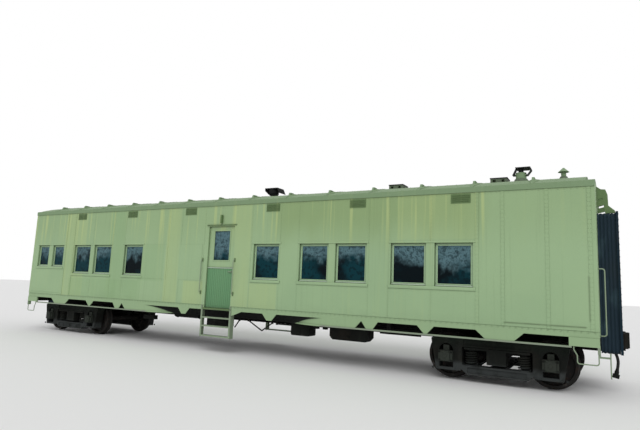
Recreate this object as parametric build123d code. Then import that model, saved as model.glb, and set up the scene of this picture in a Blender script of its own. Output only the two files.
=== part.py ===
from build123d import *
import math
import os

# Troop sleeper car on two trucks, in millimetres.
# X runs along the car, -Y is its near side, Z is up.
# The origin is at mid length and mid width, on the floor under the wheel flanges.

os.makedirs("parts", exist_ok=True)

# Wheels and axles
tread_radius = 419.0
flange_height = 28.0
flange_thickness = 28.0
flange_shoulder = 14.0
flange_edge = 9.0
flange_tip = 18.0
flange_root = 15.0
tread_taper = 2.5
track_gauge = 1435.0
flange_clearance = 11.0
wheel_width = 140.0
rim_thickness = 52.0
hub_radius = 140.0
hub_width = 180.0
hub_overlap = 5.0
web_thickness = 28.0
web_slant = 10.0
web_root = 15.0
web_rim_root = 12.0
axle_radius = 82.0
axle_waist = 8.0
seat_swell = 6.0
seat_back = 140.0
seat_front = 110.0
journal_radius = 70.0
journal_play = 5.0
journal_overhang = 140.0
journal_end_gap = 20.0

# Truck frame
truck_set_back = 1680.0
wheelbase = 1830.0
wheel_frame_gap = 31.5
frame_width = 240.0
frame_rise = 353.0
frame_drop = 307.0
frame_shoulder_reach = 295.0
frame_shoulder_drop = 45.0
frame_shoulder_slope = 60.0
frame_foot_outer = 195.0
frame_foot_inner = 215.0
frame_foot_lift = 50.0
frame_belly_side = 50.0
frame_belly_slope = 130.0
frame_belly_rise = 100.0
upper_member = 160.0
lower_member = 160.0
window_radius = 30.0
pedestal_leg = 163.0
pedestal_tie = 50.0
jaw_crown = 120.0
pocket_depth = 25.0
pocket_margin = 30.0
box_width = 264.0
box_height = 200.0
box_reach = 80.0
box_back = 15.0
box_neck_width = 110.0
box_neck_gap = 33.0
lid_radius = 82.0
lid_thickness = 25.0
spring_radius = 115.0
spring_wire = 34.0
spring_turns = 6
spring_rib = 0.6
spring_side_gap = 40.0
bolster_cap_thickness = 36.0
bolster_cap_gap = 10.0
truck_bolster_half = 170.0
truck_bolster_lift = 50.0
truck_bolster_depth = 203.0
truck_bolster_overlap = 20.0
spring_plank_half = 150.0
spring_plank_thickness = 40.0
brake_gap = 7.0
brake_shoe_thickness = 45.0
brake_shoe_drop = 190.0
brake_shoe_rise = 120.0
brake_shoe_back = 50.0
brake_shoe_front = 10.0
brake_beam_size = 50.0
brake_beam_reach = 70.0
brake_beam_drop = 5.0

# Underframe
wheel_headroom = 7.0
crossbearer_depth = 90.0
crossbearer_width = 160.0
centre_bearer = 1295.0
middle_bearer = 3745.0
outer_bearer_set_back = 1230.0
bolster_depth = 141.0
bolster_width = 300.0
end_sill_width = 170.0
end_sill_depth = 131.0
centre_sill_width = 330.0
centre_sill_depth = 291.0
centre_sill_plate = 12.0
centre_sill_flange = 60.0
centre_plate_radius = 178.0
centre_plate_depth = 6.0
centre_plate_seat = 10.0
pivot_gap = 1.0

# Car body
body_length = 15620.0
body_width = 2880.0
floor_thickness = 44.0
sill_height = 110.0
sill_set_back = 10.0
wall_height = 2418.0
side_wall_thickness = 90.0
end_wall_thickness = 80.0

# Roof
fascia_height = 102.0
fascia_proud = 15.0
roof_rise = 276.0
roof_thickness = 70.0
inner_eave_rise = 26.0
rib_height = 8.0
rib_width = 60.0
rib_pairs = 7
rib_set_back = 985.0
rib_lug_place = 1180.0
rib_lug_height = 60.0
rib_lug_sink = 40.0
rib_lug_width = 45.0
rib_lug_foot = 240.0
rib_lug_top = 130.0
roof_end_length = 130.0
roof_end_drop = 86.0
roof_end_thickness = 40.0
roof_end_collar = 50.0
seat_gap = 1.0

# Side frame under the sill
chord_drop = 174.0
chord_height = 29.0
chord_depth = 40.0
tab_thickness = 14.0
sweep_start = 2735.0
sweep_run = 1600.0
sweep_set_in = 395.0
plate_flat = 692.0
plate_slant = 133.0
end_bracket_width = 455.0
corner_post_width = 35.0
corner_post_drop = 250.0
step_gusset_length = 290.0
step_gusset_height = 111.0
step_gusset_gap = 8.0

# Windows
pair_spacing = 895.0
first_pair = 682.5
end_bay = 2827.5
small_spacing = 715.0
small_end_bay = 892.5
glass_width = 630.0
glass_height = 725.0
glass_above_sill = 695.0
small_glass_width = 430.0
small_glass_height = 545.0
glass_thickness = 10.0
sash_width = 50.0
sash_depth = 40.0
casing_height = 40.0
casing_proud = 8.0
casing_overhang = 40.0
window_sill_height = 65.0
window_sill_proud = 15.0
blank_proud = 4.0
blank_reach = 415.0
blank_lap = 25.0
batten_proud = 5.0
batten_width = 60.0

# Doors
door_centre = -225.0
door_width = 800.0
door_height = 1976.0
lower_leaf_height = 979.0
door_thickness = 45.0
door_gap = 8.0
door_lap = 15.0
door_stile = 157.5
door_top_rail = 110.0
door_bottom_rail = 167.0
end_door_width = 760.0
end_door_height = 1950.0
end_door_stile = 180.0
end_door_top_rail = 265.0
end_door_bottom_rail = 985.0
hinge_radius = 6.0
hinge_offset = 8.0
hinge_length = 60.0
hinge_gap = 6.0
hinge_strap = 100.0
hinge_set_in = 110.0
drip_height = 12.0
drip_proud = 24.0
drip_overhang = 60.0
threshold_height = 30.0
threshold_proud = 20.0
lamp_bracket_width = 40.0
lamp_bracket_height = 200.0
lamp_bracket_proud = 60.0
lamp_bracket_lift = 34.0

# Couplers
coupler_reach = 450.0
coupler_drop = 87.0
coupler_head_length = 260.0
coupler_head_half = 165.0
coupler_head_height = 280.0
shank_width = 127.0
shank_height = 140.0
shank_overlap = 60.0
draft_length = 560.0
draft_set_back = 250.0
draft_clearance = 40.0

# Gangway bellows
diaphragm_reach = 300.0
diaphragm_folds = 4
fold_depth = 35.0
fold_share = 0.4
bellows_side = 135.0
bellows_top = 130.0
bellows_leg = 120.0
diaphragm_drop = 310.0
face_plate_thickness = 40.0
face_plate_margin = 20.0
passage_play = 5.0
passage_head = 75.0
passage_sill = 36.0
coupler_clearance = 10.0
arm_place = 430.0
arm_width = 40.0
# Arm outline: distance out from the end wall, height over the bellows
arm_outline = [
    (0.0, 510.0), (75.0, 450.0), (150.0, 442.0), (185.0, 340.0), (190.0, 140.0), (290.0, 45.0),
    (300.0, 0.0), (135.0, 0.0), (130.0, 155.0), (0.0, 125.0),
]
arm_slot = [(25.0, 225.0), (25.0, 262.0), (112.0, 288.0), (112.0, 248.0)]

# Derived places
half_length = body_length / 2
half_width = body_width / 2
inner_half_width = half_width - side_wall_thickness
inner_half_length = half_length - end_wall_thickness
flange_radius = tread_radius + flange_height
axle_height = flange_radius
deck_bottom = 2 * flange_radius + wheel_headroom + crossbearer_depth
floor_top = deck_bottom + floor_thickness
sill_top = deck_bottom + sill_height
wall_top = sill_top + wall_height
eave_top = wall_top + fascia_height
ridge = eave_top + roof_rise
end_ridge = ridge - roof_end_drop
roof_half_width = half_width + fascia_proud
sill_face = half_width - sill_set_back
chord_bottom = deck_bottom - chord_drop
chord_top = chord_bottom + chord_height
corner_post_bottom = deck_bottom - corner_post_drop
centre_sill_bottom = deck_bottom - centre_sill_depth
truck_place = half_length - truck_set_back
outer_bearer = truck_place - outer_bearer_set_back
wheel_back = track_gauge / 2 - flange_clearance - flange_thickness
wheel_front = wheel_back + wheel_width
wheel_seat = wheel_back + wheel_width / 2
hub_front = wheel_seat + hub_width / 2
frame_inner = hub_front + wheel_frame_gap
frame_outer = frame_inner + frame_width
journal_centre = frame_inner + frame_width / 2
journal_end = journal_centre + journal_overhang
frame_top = axle_height + frame_rise
frame_bottom = axle_height - frame_drop
frame_foot = frame_bottom + frame_foot_lift
frame_window_top = frame_top - upper_member
frame_window_bottom = frame_bottom + lower_member
frame_window_half = wheelbase / 2 - box_width / 2 - pedestal_leg
jaw_top = frame_top - jaw_crown
jaw_bottom = frame_foot + pedestal_tie
spring_place = frame_window_half - spring_side_gap - spring_radius
bolster_cap_top = frame_window_top - bolster_cap_gap
bolster_cap_bottom = bolster_cap_top - bolster_cap_thickness
truck_bolster_top = centre_sill_bottom - centre_plate_depth - pivot_gap
window_half = glass_width / 2 + sash_width
small_window_half = small_glass_width / 2 + sash_width
pair_pitch = (half_length - end_bay - first_pair) / 2
glass_bottom = sill_top + glass_above_sill
glass_top = glass_bottom + glass_height
small_glass_bottom = glass_top - small_glass_height
bay_top = glass_top + sash_width
door_left = door_centre - door_width / 2
door_right = door_centre + door_width / 2
door_top = floor_top + door_height
door_split = floor_top + lower_leaf_height
leaf_half = door_width / 2 + door_lap
end_door_top = floor_top + end_door_height
end_leaf_half = end_door_width / 2 + door_lap
coupler_end = half_length + coupler_reach
coupler_height = deck_bottom - coupler_drop
coupler_back = coupler_end - coupler_head_length
diaphragm_face = half_length + diaphragm_reach
diaphragm_bottom = deck_bottom - diaphragm_drop
passage_half = end_door_width / 2 + passage_play
passage_top = end_door_top + passage_head
diaphragm_top = passage_top + bellows_top
diaphragm_half_width = passage_half + bellows_side
coupler_slot_top = coupler_height + coupler_head_height / 2 + coupler_clearance
passage_step = coupler_slot_top + passage_sill

ends = {"right": 0.0, "left": 180.0}


def block(x0, x1, y0, y1, z0, z1):
    """A square-cut block between two corners."""
    return Pos((x0 + x1) / 2, (y0 + y1) / 2, (z0 + z1) / 2) * Box(x1 - x0, y1 - y0, z1 - z0)


def slab_across(points, y0, y1):
    """An outline in X and Z, made solid from y0 to y1."""
    face = Plane.XZ * make_face(Polyline(*points, close=True))
    return Pos(0, y1, 0) * extrude(face, y1 - y0)


def slab_along(face, x0, x1):
    """A face in Y and Z, made solid from x0 to x1."""
    return Pos(x0, 0, 0) * extrude(Plane.YZ * face, x1 - x0)


def rod(start, end, diameter):
    """A round bar from one point to another."""
    start, end = Vector(*start), Vector(*end)
    place = Plane(origin=start, z_dir=end - start)
    return extrude(place * Circle(diameter / 2), (end - start).length)


def bent_rod(points, bend, diameter):
    """A round bar through points in order, each corner bent to one radius."""
    path = FilletPolyline(*points, radius=bend)
    start = Plane(origin=path @ 0, z_dir=path % 0)
    return sweep(start * Circle(diameter / 2), path)


def arch(width, foot, spring, crown):
    """A face with a flat foot, plumb sides and one arc over the crown."""
    sides = Polyline((width, spring), (width, foot), (-width, foot), (-width, spring))
    over = ThreePointArc((-width, spring), (0, crown), (width, spring))
    return make_face([sides, over])


def far(shape):
    """The same piece on the far side."""
    return mirror(shape, Plane.XZ)


def at_left(shape):
    """The same piece turned half round, for the left end."""
    return Rot(0, 0, 180) * shape


def mirrored_left(shape):
    """The same piece mirrored along the car."""
    return mirror(shape, Plane.YZ)


def save(node, *pieces):
    """Write one node with every solid of its pieces."""
    solids = [solid for piece in pieces for solid in piece.solids()]
    export_step(Compound(solids), f"parts/{node}.step")


def pair_window(end, pair, side):
    """Middle of one window of a pair, counted from mid length; side is 1 for the outer window."""
    return end * (first_pair + pair_pitch * pair + side * pair_spacing / 2)


# Full windows: end of the car, pair counted from the middle, inner or outer window
full_windows = [
    (1, 0, 1), (1, 1, -1), (1, 1, 1), (1, 2, -1), (1, 2, 1),
    (-1, 1, 1), (-1, 2, -1), (-1, 2, 1),
]
small_window_middle = -half_length + small_end_bay
# Side windows: centre along the car, glass width, glass bottom
side_windows = [(pair_window(*place), glass_width, glass_bottom) for place in full_windows]
side_windows += [
    (small_window_middle + side * small_spacing / 2, small_glass_width, small_glass_bottom)
    for side in (-1, 1)
]

# Window bays: left opening edge, right opening edge, opening bottom
bay_bottom = glass_bottom - sash_width
window_bays = [
    (small_window_middle - small_spacing / 2 - small_window_half,
     small_window_middle + small_spacing / 2 + small_window_half, small_glass_bottom - sash_width),
    (pair_window(-1, 2, 1) - window_half, pair_window(-1, 2, -1) + window_half, bay_bottom),
    (pair_window(-1, 1, 1) - window_half, pair_window(-1, 1, 1) + window_half, bay_bottom),
    (pair_window(1, 0, 1) - window_half, pair_window(1, 0, 1) + window_half, bay_bottom),
    (pair_window(1, 1, -1) - window_half, pair_window(1, 1, 1) + window_half, bay_bottom),
    (pair_window(1, 2, -1) - window_half, pair_window(1, 2, 1) + window_half, bay_bottom),
]

# Gusset tabs: centre, half width at the top, half width at the bottom
bolster_tab_offset = 115.0
gusset_tabs = [
    (truck_place + bolster_tab_offset, 410.0, 248.0),
    (outer_bearer, 166.0, 30.0),
    (middle_bearer, 180.0, 73.0),
    (centre_bearer, 190.0, 65.0),
]

# Battens on the wall: end of the car, distance of the middle from that end
bay_batten = end_bay - pair_spacing / 2 - window_half - casing_overhang - batten_width / 2
small_bay_batten = small_end_bay + small_spacing / 2 + small_window_half + casing_overhang + batten_width / 2
wall_battens = [(1, bay_batten), (1, 1495.0), (1, 755.0), (1, 95.0), (-1, bay_batten), (-1, small_bay_batten)]


def make_hinge(axis_x, axis_y, reach_x, reach_y, bottom):
    """One half of a door hinge: a barrel on the hinge line and a strap that reaches to one side."""
    barrel = Pos(axis_x, axis_y, bottom + hinge_length / 2) * Cylinder(hinge_radius, hinge_length)
    x0, x1 = sorted((axis_x, reach_x))
    y0, y1 = sorted((axis_y, reach_y))
    return barrel + block(x0, x1, y0, y1, bottom, bottom + hinge_length)


def hinge_heights(bottom, top):
    """Where the hinges of a leaf start, near its bottom and near its top."""
    return [bottom + hinge_set_in, top - hinge_set_in - 2 * hinge_length - hinge_gap]


def side_hinges(bottom, top, strap, lift):
    """Hinge halves on the near side door's hinge line; strap is -1 for the wall and 1 for the leaf."""
    axis_x = door_centre - leaf_half
    axis_y = -inner_half_width + hinge_offset
    reach = strap * hinge_strap - (door_gap if strap < 0 else 0.0)
    return [make_hinge(axis_x, axis_y, axis_x + reach, -inner_half_width, height + lift)
            for height in hinge_heights(bottom, top)]


def end_hinges(bottom, top, strap, lift):
    """Hinge halves on the right end door's hinge line; strap is -1 for the leaf and 1 for the wall."""
    axis_y = end_leaf_half
    axis_x = inner_half_length - hinge_offset
    reach = strap * hinge_strap + (door_gap if strap > 0 else 0.0)
    return [make_hinge(axis_x, axis_y, inner_half_length, axis_y + reach, height + lift)
            for height in hinge_heights(bottom, top)]


lower_leaf = (floor_top + door_gap, door_split - door_gap / 2)
upper_leaf = (door_split + door_gap / 2, door_top + door_lap)
end_leaf = (floor_top + door_gap, end_door_top + door_lap)
wall_hinge_lift = hinge_length + hinge_gap


def make_side_wall():
    """Near side wall with its window openings, the rebated doorway and the wall's hinge halves."""
    wall = block(-half_length, half_length, -half_width, -inner_half_width, sill_top, wall_top)
    for centre, width, bottom in side_windows:
        half = width / 2 + sash_width
        wall -= block(centre - half, centre + half, -half_width, -inner_half_width,
                      bottom - sash_width, bay_top)
    wall -= block(door_left, door_right, -half_width, -inner_half_width, sill_top, door_top)
    rebate = leaf_half + door_gap
    lip = inner_half_width + door_thickness + door_gap
    wall -= block(door_centre - rebate, door_centre + rebate, -lip, -inner_half_width,
                  sill_top, door_top + door_lap + door_gap)
    wall += side_hinges(*lower_leaf, -1, wall_hinge_lift)
    return wall + side_hinges(*upper_leaf, -1, wall_hinge_lift)


def make_wall_battens():
    """Battens up the near wall and the plates over two former windows."""
    pieces = []
    for end, distance in wall_battens:
        middle = end * (half_length - distance)
        pieces.append(block(middle - batten_width / 2, middle + batten_width / 2,
                            -half_width - batten_proud, -half_width, sill_top, wall_top))
    first_blank = pair_window(-1, 0, 1)
    second_blank = pair_window(-1, 1, -1)
    spans = [
        (first_blank - blank_reach, door_left - door_grab_left - casing_overhang),
        (pair_window(-1, 1, 1) + window_half + casing_overhang, second_blank + window_half + blank_lap),
    ]
    for left, right in spans:
        pieces.append(block(left, right, -half_width - blank_proud, -half_width,
                            bay_bottom - window_sill_height, bay_top))
    return pieces


def make_window_frames():
    """Sashes set back in their openings, with a casing over and a sill under each bay."""
    pieces = []
    sash_back = inner_half_width
    for centre, width, bottom in side_windows:
        outer = width / 2 + sash_width
        sash = block(centre - outer, centre + outer, -sash_back - sash_depth, -sash_back,
                     bottom - sash_width, bay_top)
        sash -= block(centre - width / 2, centre + width / 2, -sash_back - sash_depth, -sash_back,
                      bottom, glass_top)
        pieces.append(sash)
    for left, right, bottom in window_bays:
        left, right = left - casing_overhang, right + casing_overhang
        pieces.append(block(left, right, -half_width - casing_proud, -half_width,
                            bay_top, bay_top + casing_height))
        pieces.append(block(left, right, -half_width - window_sill_proud, -half_width,
                            bottom - window_sill_height, bottom))
    return pieces


def make_window_glass():
    """One pane in each sash."""
    middle = inner_half_width + sash_depth / 2
    return [
        block(centre - width / 2, centre + width / 2,
              -middle - glass_thickness / 2, -middle + glass_thickness / 2, bottom, glass_top)
        for centre, width, bottom in side_windows
    ]


def make_side_frame():
    """Near sill, its gusset tabs, the chord bar and the plate that sweeps inboard at mid length."""
    sill = block(-half_length, half_length, -sill_face, -inner_half_width, deck_bottom, sill_top)
    rebate = leaf_half + door_gap
    lip = inner_half_width + door_thickness + door_gap
    sill -= block(door_left, door_right, -sill_face, -inner_half_width, floor_top, sill_top)
    sill -= block(door_centre - rebate, door_centre + rebate, -lip, -inner_half_width, floor_top, sill_top)
    parts = []
    for centre, top_half, bottom_half in gusset_tabs:
        outline = [(centre - top_half, deck_bottom), (centre - bottom_half, chord_top),
                   (centre + bottom_half, chord_top), (centre + top_half, deck_bottom)]
        parts.append(slab_across(outline, -sill_face, -sill_face + tab_thickness))
    plate_end = sweep_start + plate_flat
    outline = [(sweep_start, deck_bottom), (sweep_start, chord_bottom), (plate_end, chord_bottom),
               (plate_end, chord_top), (plate_end + plate_slant, deck_bottom)]
    parts.append(slab_across(outline, -sill_face, -sill_face + tab_thickness))
    bracket = half_length - end_bracket_width
    chord_face = -half_width + chord_depth
    parts.append(block(sweep_start, bracket + chord_depth, -half_width, chord_face, chord_bottom, chord_top))
    parts.append(block(bracket, half_length, -half_width, chord_face, chord_top, deck_bottom))
    parts.append(block(half_length - corner_post_width, half_length, -half_width, -inner_half_width,
                       corner_post_bottom, deck_bottom))
    parts += [mirrored_left(part) for part in parts]
    gusset = door_right + step_right_margin + step_gusset_gap
    outline = [(gusset, deck_bottom), (gusset + step_gusset_length, deck_bottom),
               (gusset, deck_bottom - step_gusset_height)]
    parts.append(slab_across(outline, -sill_face, -sill_face + tab_thickness))

    middle = sill_face - tab_thickness / 2
    radius = (sweep_run ** 2 + sweep_set_in ** 2) / (4 * sweep_set_in)
    turn = math.degrees(math.asin(sweep_run / 2 / radius))
    first = JernArc((sweep_start, -middle), (-1, 0), radius, -turn)
    second = JernArc(first @ 1, first % 1, radius, turn)
    across = Line(second @ 1, (-(second @ 1).X, (second @ 1).Y))
    third = JernArc(across @ 1, (-1, 0), radius, turn)
    fourth = JernArc(third @ 1, third % 1, radius, -turn)
    path = Wire([first.edge(), second.edge(), across.edge(), third.edge(), fourth.edge()])
    start = Plane(origin=(sweep_start, -middle, 0), x_dir=(0, 1, 0), z_dir=(-1, 0, 0))
    plate = Pos(0, -(chord_bottom + chord_drop / 2)) * Rectangle(tab_thickness, chord_drop)
    flange = Pos(0, -(chord_bottom + chord_height / 2)) * Rectangle(chord_depth, chord_height)
    return sill + parts + [sweep(start * plate, path), sweep(start * flange, path)]


def make_centre_sill():
    """Centre sill, open below, filled over each truck, with the centre plates."""
    half = centre_sill_width / 2
    sill = block(-half_length, half_length, -half, half, centre_sill_bottom, deck_bottom)
    sill -= block(-half_length, half_length, -half + centre_sill_plate, half - centre_sill_plate,
                  centre_sill_bottom, deck_bottom - centre_sill_plate)
    parts = []
    for side in (-1, 1):
        inner, outer = sorted((side * half, side * (half + centre_sill_flange)))
        parts.append(block(-half_length, half_length, inner, outer,
                           centre_sill_bottom, centre_sill_bottom + centre_sill_plate))
    for place in (-truck_place, truck_place):
        parts.append(block(place - bolster_width / 2, place + bolster_width / 2, -half, half,
                           centre_sill_bottom, deck_bottom))
        plate = Pos(place, 0, centre_sill_bottom - centre_plate_depth / 2)
        parts.append(plate * Cylinder(centre_plate_radius, centre_plate_depth))
    return sill + parts


def make_crossbearers():
    """Bolsters, crossbearers and end sills, each half between the centre sill and one side."""
    half = centre_sill_width / 2
    reach = sill_face - tab_thickness
    # Cross members: middle along the car, width, depth, outer end
    table = [
        (truck_place, bolster_width, bolster_depth, reach),
        (outer_bearer, crossbearer_width, crossbearer_depth, reach),
        (middle_bearer, crossbearer_width, crossbearer_depth, reach),
        (centre_bearer, crossbearer_width, crossbearer_depth, reach - sweep_set_in),
        (half_length - end_sill_width / 2, end_sill_width, end_sill_depth, inner_half_width),
    ]
    members = []
    for middle, width, depth, outer in table:
        for end in (-1, 1):
            member = block(end * middle - width / 2, end * middle + width / 2, -outer, -half,
                           deck_bottom - depth, deck_bottom)
            members += [member, far(member)]
    return members


def make_end_wall():
    """Right end wall with its rebated doorway and the wall's hinge halves."""
    face = arch(inner_half_width, deck_bottom, wall_top + inner_eave_rise - seat_gap,
                end_ridge - roof_end_thickness - seat_gap)
    wall = slab_along(face, inner_half_length, half_length)
    half = end_door_width / 2
    wall -= block(inner_half_length, half_length, -half, half, floor_top, end_door_top)
    rebate = end_leaf_half + door_gap
    lip = inner_half_length + door_thickness + door_gap
    wall -= block(inner_half_length, lip, -rebate, rebate, floor_top, end_door_top + door_lap + door_gap)
    return wall + end_hinges(*end_leaf, 1, wall_hinge_lift)


def roof_height(y):
    """Height of the roof's outer face at a distance from the middle."""
    radius = (roof_half_width ** 2 + roof_rise ** 2) / (2 * roof_rise)
    return ridge - radius + math.sqrt(radius ** 2 - y ** 2)


def make_roof_outside():
    """The roof's outer form, filled, with its fascia, lower ends, ribs and the lugs on the ribs."""
    inner = half_length - roof_end_length
    roof = slab_along(arch(roof_half_width, wall_top, eave_top, ridge), -inner, inner)
    low = arch(roof_half_width, wall_top, eave_top, end_ridge)
    pieces = [slab_along(low, inner, half_length), slab_along(low, -half_length, -inner)]
    rib_face = arch(roof_half_width, eave_top - rib_height, eave_top + rib_height, ridge + rib_height)
    base = roof_height(rib_lug_place)
    foot, top = rib_lug_foot / 2, rib_lug_top / 2
    lug_bottom, lug_top = base - rib_lug_sink, base + rib_lug_height
    lug_face = make_face(Polyline(
        (rib_lug_place - foot, lug_bottom), (rib_lug_place - top, lug_top),
        (rib_lug_place + top, lug_top), (rib_lug_place + foot, lug_bottom), close=True))
    pitch = (half_length - rib_set_back) / (rib_pairs - 0.5)
    for step in range(rib_pairs):
        for end in (-1, 1):
            middle = end * pitch * (step + 0.5)
            pieces.append(slab_along(rib_face, middle - rib_width / 2, middle + rib_width / 2))
            lug = slab_along(lug_face, middle - rib_lug_width / 2, middle + rib_lug_width / 2)
            pieces += [lug, far(lug)]
    return roof + pieces


roof_outside = make_roof_outside()


def make_roof():
    """Arched roof, hollow from wall to wall, with a lower ceiling over each end wall."""
    hollow = arch(inner_half_width, wall_top, wall_top + inner_eave_rise, ridge - roof_thickness)
    end_hollow = arch(inner_half_width, wall_top, wall_top + inner_eave_rise, end_ridge - roof_end_thickness)
    inner = half_length - roof_end_length - roof_end_collar
    roof = roof_outside - slab_along(hollow, -inner, inner)
    return roof - slab_along(end_hollow, -half_length, half_length)


# Louvre vents under the eave
eave_vent_first = 1265.0
eave_vent_width = 370.0
eave_vent_height = 180.0
eave_vent_gap = 18.0
eave_vent_proud = 8.0
eave_vent_back = 4.0
slat_count = 5


def make_eave_vents():
    """Louvre vents under the near eave."""
    vents = []
    bottom = wall_top - eave_vent_gap - eave_vent_height
    pitch = eave_vent_height / slat_count
    half = eave_vent_width / 2
    for end in (-1, 1):
        for step in range(3):
            centre = end * (eave_vent_first + pair_pitch * step)
            vent = block(centre - half, centre + half, -half_width - eave_vent_back, -half_width,
                         bottom, bottom + eave_vent_height)
            slats = [block(centre - half, centre + half, -half_width - eave_vent_proud,
                           -half_width - eave_vent_back, bottom + pitch * slat, bottom + pitch * (slat + 0.5))
                     for slat in range(slat_count)]
            vents.append(vent + slats)
    return vents


# Low box vents on the ridge
roof_vent_set_backs = (1783.0, 4050.0)
roof_vent_size = 335.0
roof_vent_rise = 150.0
roof_vent_lid = 20.0
roof_vent_lid_reach = 8.0
roof_vent_slot_width = 58.0
roof_vent_slot_height = 74.0
roof_vent_slot_depth = 60.0
roof_vent_slot_drop = 42.0
roof_vent_slot_place = 88.0


def make_roof_vents():
    """A box under a flat lid, with two slots in each side."""
    vents = []
    half = roof_vent_size / 2
    low = roof_height(half)
    lid_bottom = ridge + roof_vent_rise - roof_vent_lid
    slot_top = ridge + roof_vent_rise - roof_vent_slot_drop
    slot = roof_vent_slot_width / 2
    for set_back in roof_vent_set_backs:
        centre = half_length - set_back
        box = block(centre - half, centre + half, -half, half, low, lid_bottom)
        for turn in range(4):
            for place in (-roof_vent_slot_place, roof_vent_slot_place):
                cut = block(place - slot, place + slot, -half, -half + roof_vent_slot_depth,
                            slot_top - roof_vent_slot_height, slot_top)
                box -= Pos(centre, 0, 0) * Rot(0, 0, 90 * turn) * cut
        edge = half + roof_vent_lid_reach
        box += block(centre - edge, centre + edge, -edge, edge, lid_bottom, ridge + roof_vent_rise)
        vents.append(box - roof_outside)
    return vents


# Cowl over a short pipe on the ridge
hood_place = 300.0
hood_width = 300.0
hood_pipe_diameter = 150.0
cowl_sheet = 14.0
# Cowl's outer line: distance from the pipe's middle, height over the ridge
hood_outline = [(-74.0, 71.0), (-234.0, 206.0), (-240.0, 280.0), (155.0, 280.0), (225.0, 135.0)]

# Round stacks
stack_side = -450.0
stack_sink = 40.0
chimney_set_back = 1300.0
chimney_diameter = 200.0
chimney_rise = 148.0
chimney_neck_diameter = 96.0
chimney_cowl_width = 300.0
chimney_flap_width = 140.0
# Cowl's top and its two leaning flaps: distance from the stack's middle, height over the ridge
chimney_top_outline = [(-90.0, 240.0), (186.0, 240.0)]
chimney_left_flap = [(-90.0, 240.0), (-158.0, 100.0)]
chimney_right_flap = [(186.0, 240.0), (202.0, 192.0), (126.0, 90.0)]
small_stack_set_back = 535.0
small_stack_diameter = 90.0
small_stack_lap = 10.0
small_cone_diameter = 200.0
small_cone_tip = 24.0
small_cone_lift = 110.0
small_cone_rise = 84.0


def sheet_between(outer, inner, width):
    """A bent sheet between an outer and an inner line, made solid across the car."""
    return slab_across(outer + list(reversed(inner)), -width / 2, width / 2)


def make_roof_hood():
    """Leaning cowl over a short pipe."""
    outer = [(hood_place + x, ridge + z) for x, z in hood_outline]
    # The sheet's inner line, point by point: step along the car and step down
    steps = [(1.0, 0.0), (1.0, 0.0), (1.0, 1.0), (-1.0, 1.0), (-1.0, 0.0)]
    inner = [(x + cowl_sheet * along, z - cowl_sheet * down) for (x, z), (along, down) in zip(outer, steps)]
    cowl = sheet_between(outer, inner, hood_width)
    low = roof_height(hood_pipe_diameter / 2) - stack_sink
    top = outer[2][1] - cowl_sheet / 2
    pipe = Pos(hood_place, 0, (low + top) / 2) * Cylinder(hood_pipe_diameter / 2, top - low)
    return (pipe - roof_outside) + cowl


def make_chimney():
    """Round stack with a narrower neck under a flat cowl with two leaning flaps."""
    place = half_length - chimney_set_back
    low = roof_height(stack_side) - stack_sink
    shoulder = ridge + chimney_rise
    (left, height), (right, _) = chimney_top_outline
    top = ridge + height
    stack = Pos(place, stack_side, (low + shoulder) / 2) * Cylinder(chimney_diameter / 2, shoulder - low)
    stack -= roof_outside
    neck_top = top - cowl_sheet / 2
    neck = Pos(place, stack_side, (shoulder + neck_top) / 2)
    stack += neck * Cylinder(chimney_neck_diameter / 2, neck_top - shoulder)
    lid = block(place + left, place + right, stack_side - chimney_cowl_width / 2,
                stack_side + chimney_cowl_width / 2, top - cowl_sheet, top)
    pieces = [lid]
    for line, inward in ((chimney_left_flap, 1), (chimney_right_flap, -1)):
        outer = [(place + x, ridge + z) for x, z in line]
        inner = [(x + inward * cowl_sheet, z) for x, z in outer]
        pieces.append(Pos(0, stack_side, 0) * sheet_between(outer, inner, chimney_flap_width))
        tip_x, tip_z = outer[-1]
        x0, x1 = sorted((tip_x, place - inward * chimney_neck_diameter / 2))
        pieces.append(block(x0, x1, stack_side - chimney_flap_width / 2, stack_side + chimney_flap_width / 2,
                            tip_z, tip_z + cowl_sheet))
    return stack + pieces


def make_small_stack():
    """Thin stack with a cone cap."""
    place = half_length - small_stack_set_back
    low = roof_height(stack_side) - stack_sink
    cone_bottom = ridge + small_cone_lift
    top = cone_bottom + small_stack_lap
    pipe = Pos(place, stack_side, (low + top) / 2) * Cylinder(small_stack_diameter / 2, top - low)
    pipe -= roof_outside
    cone = Pos(place, stack_side, cone_bottom + small_cone_rise / 2)
    return pipe + cone * Cone(small_cone_diameter / 2, small_cone_tip / 2, small_cone_rise)


def make_side_doors():
    """Lower leaf, upper leaf and the upper leaf's pane, with the leaves' hinge halves."""
    left, right = door_centre - leaf_half, door_centre + leaf_half
    front = -inner_half_width - door_thickness
    lower = block(left, right, front, -inner_half_width, *lower_leaf) + side_hinges(*lower_leaf, 1, 0.0)
    upper = block(left, right, front, -inner_half_width, *upper_leaf)
    pane_left, pane_right = door_left + door_stile, door_right - door_stile
    pane_bottom, pane_top = door_split + door_bottom_rail, door_top - door_top_rail
    upper -= block(pane_left, pane_right, front, -inner_half_width, pane_bottom, pane_top)
    upper += side_hinges(*upper_leaf, 1, 0.0)
    middle = inner_half_width + door_thickness / 2
    pane = block(pane_left, pane_right, -middle - glass_thickness / 2, -middle + glass_thickness / 2,
                 pane_bottom, pane_top)
    return lower, upper, pane


def make_end_door():
    """Right end door leaf with its hinge halves, and its pane."""
    back, front = inner_half_length, inner_half_length + door_thickness
    leaf = block(back, front, -end_leaf_half, end_leaf_half, *end_leaf)
    side = end_door_width / 2 - end_door_stile
    low, high = floor_top + end_door_bottom_rail, end_door_top - end_door_top_rail
    leaf -= block(back, front, -side, side, low, high)
    leaf += end_hinges(*end_leaf, -1, 0.0)
    middle = (back + front) / 2
    pane = block(middle - glass_thickness / 2, middle + glass_thickness / 2, -side, side, low, high)
    return leaf, pane


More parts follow.
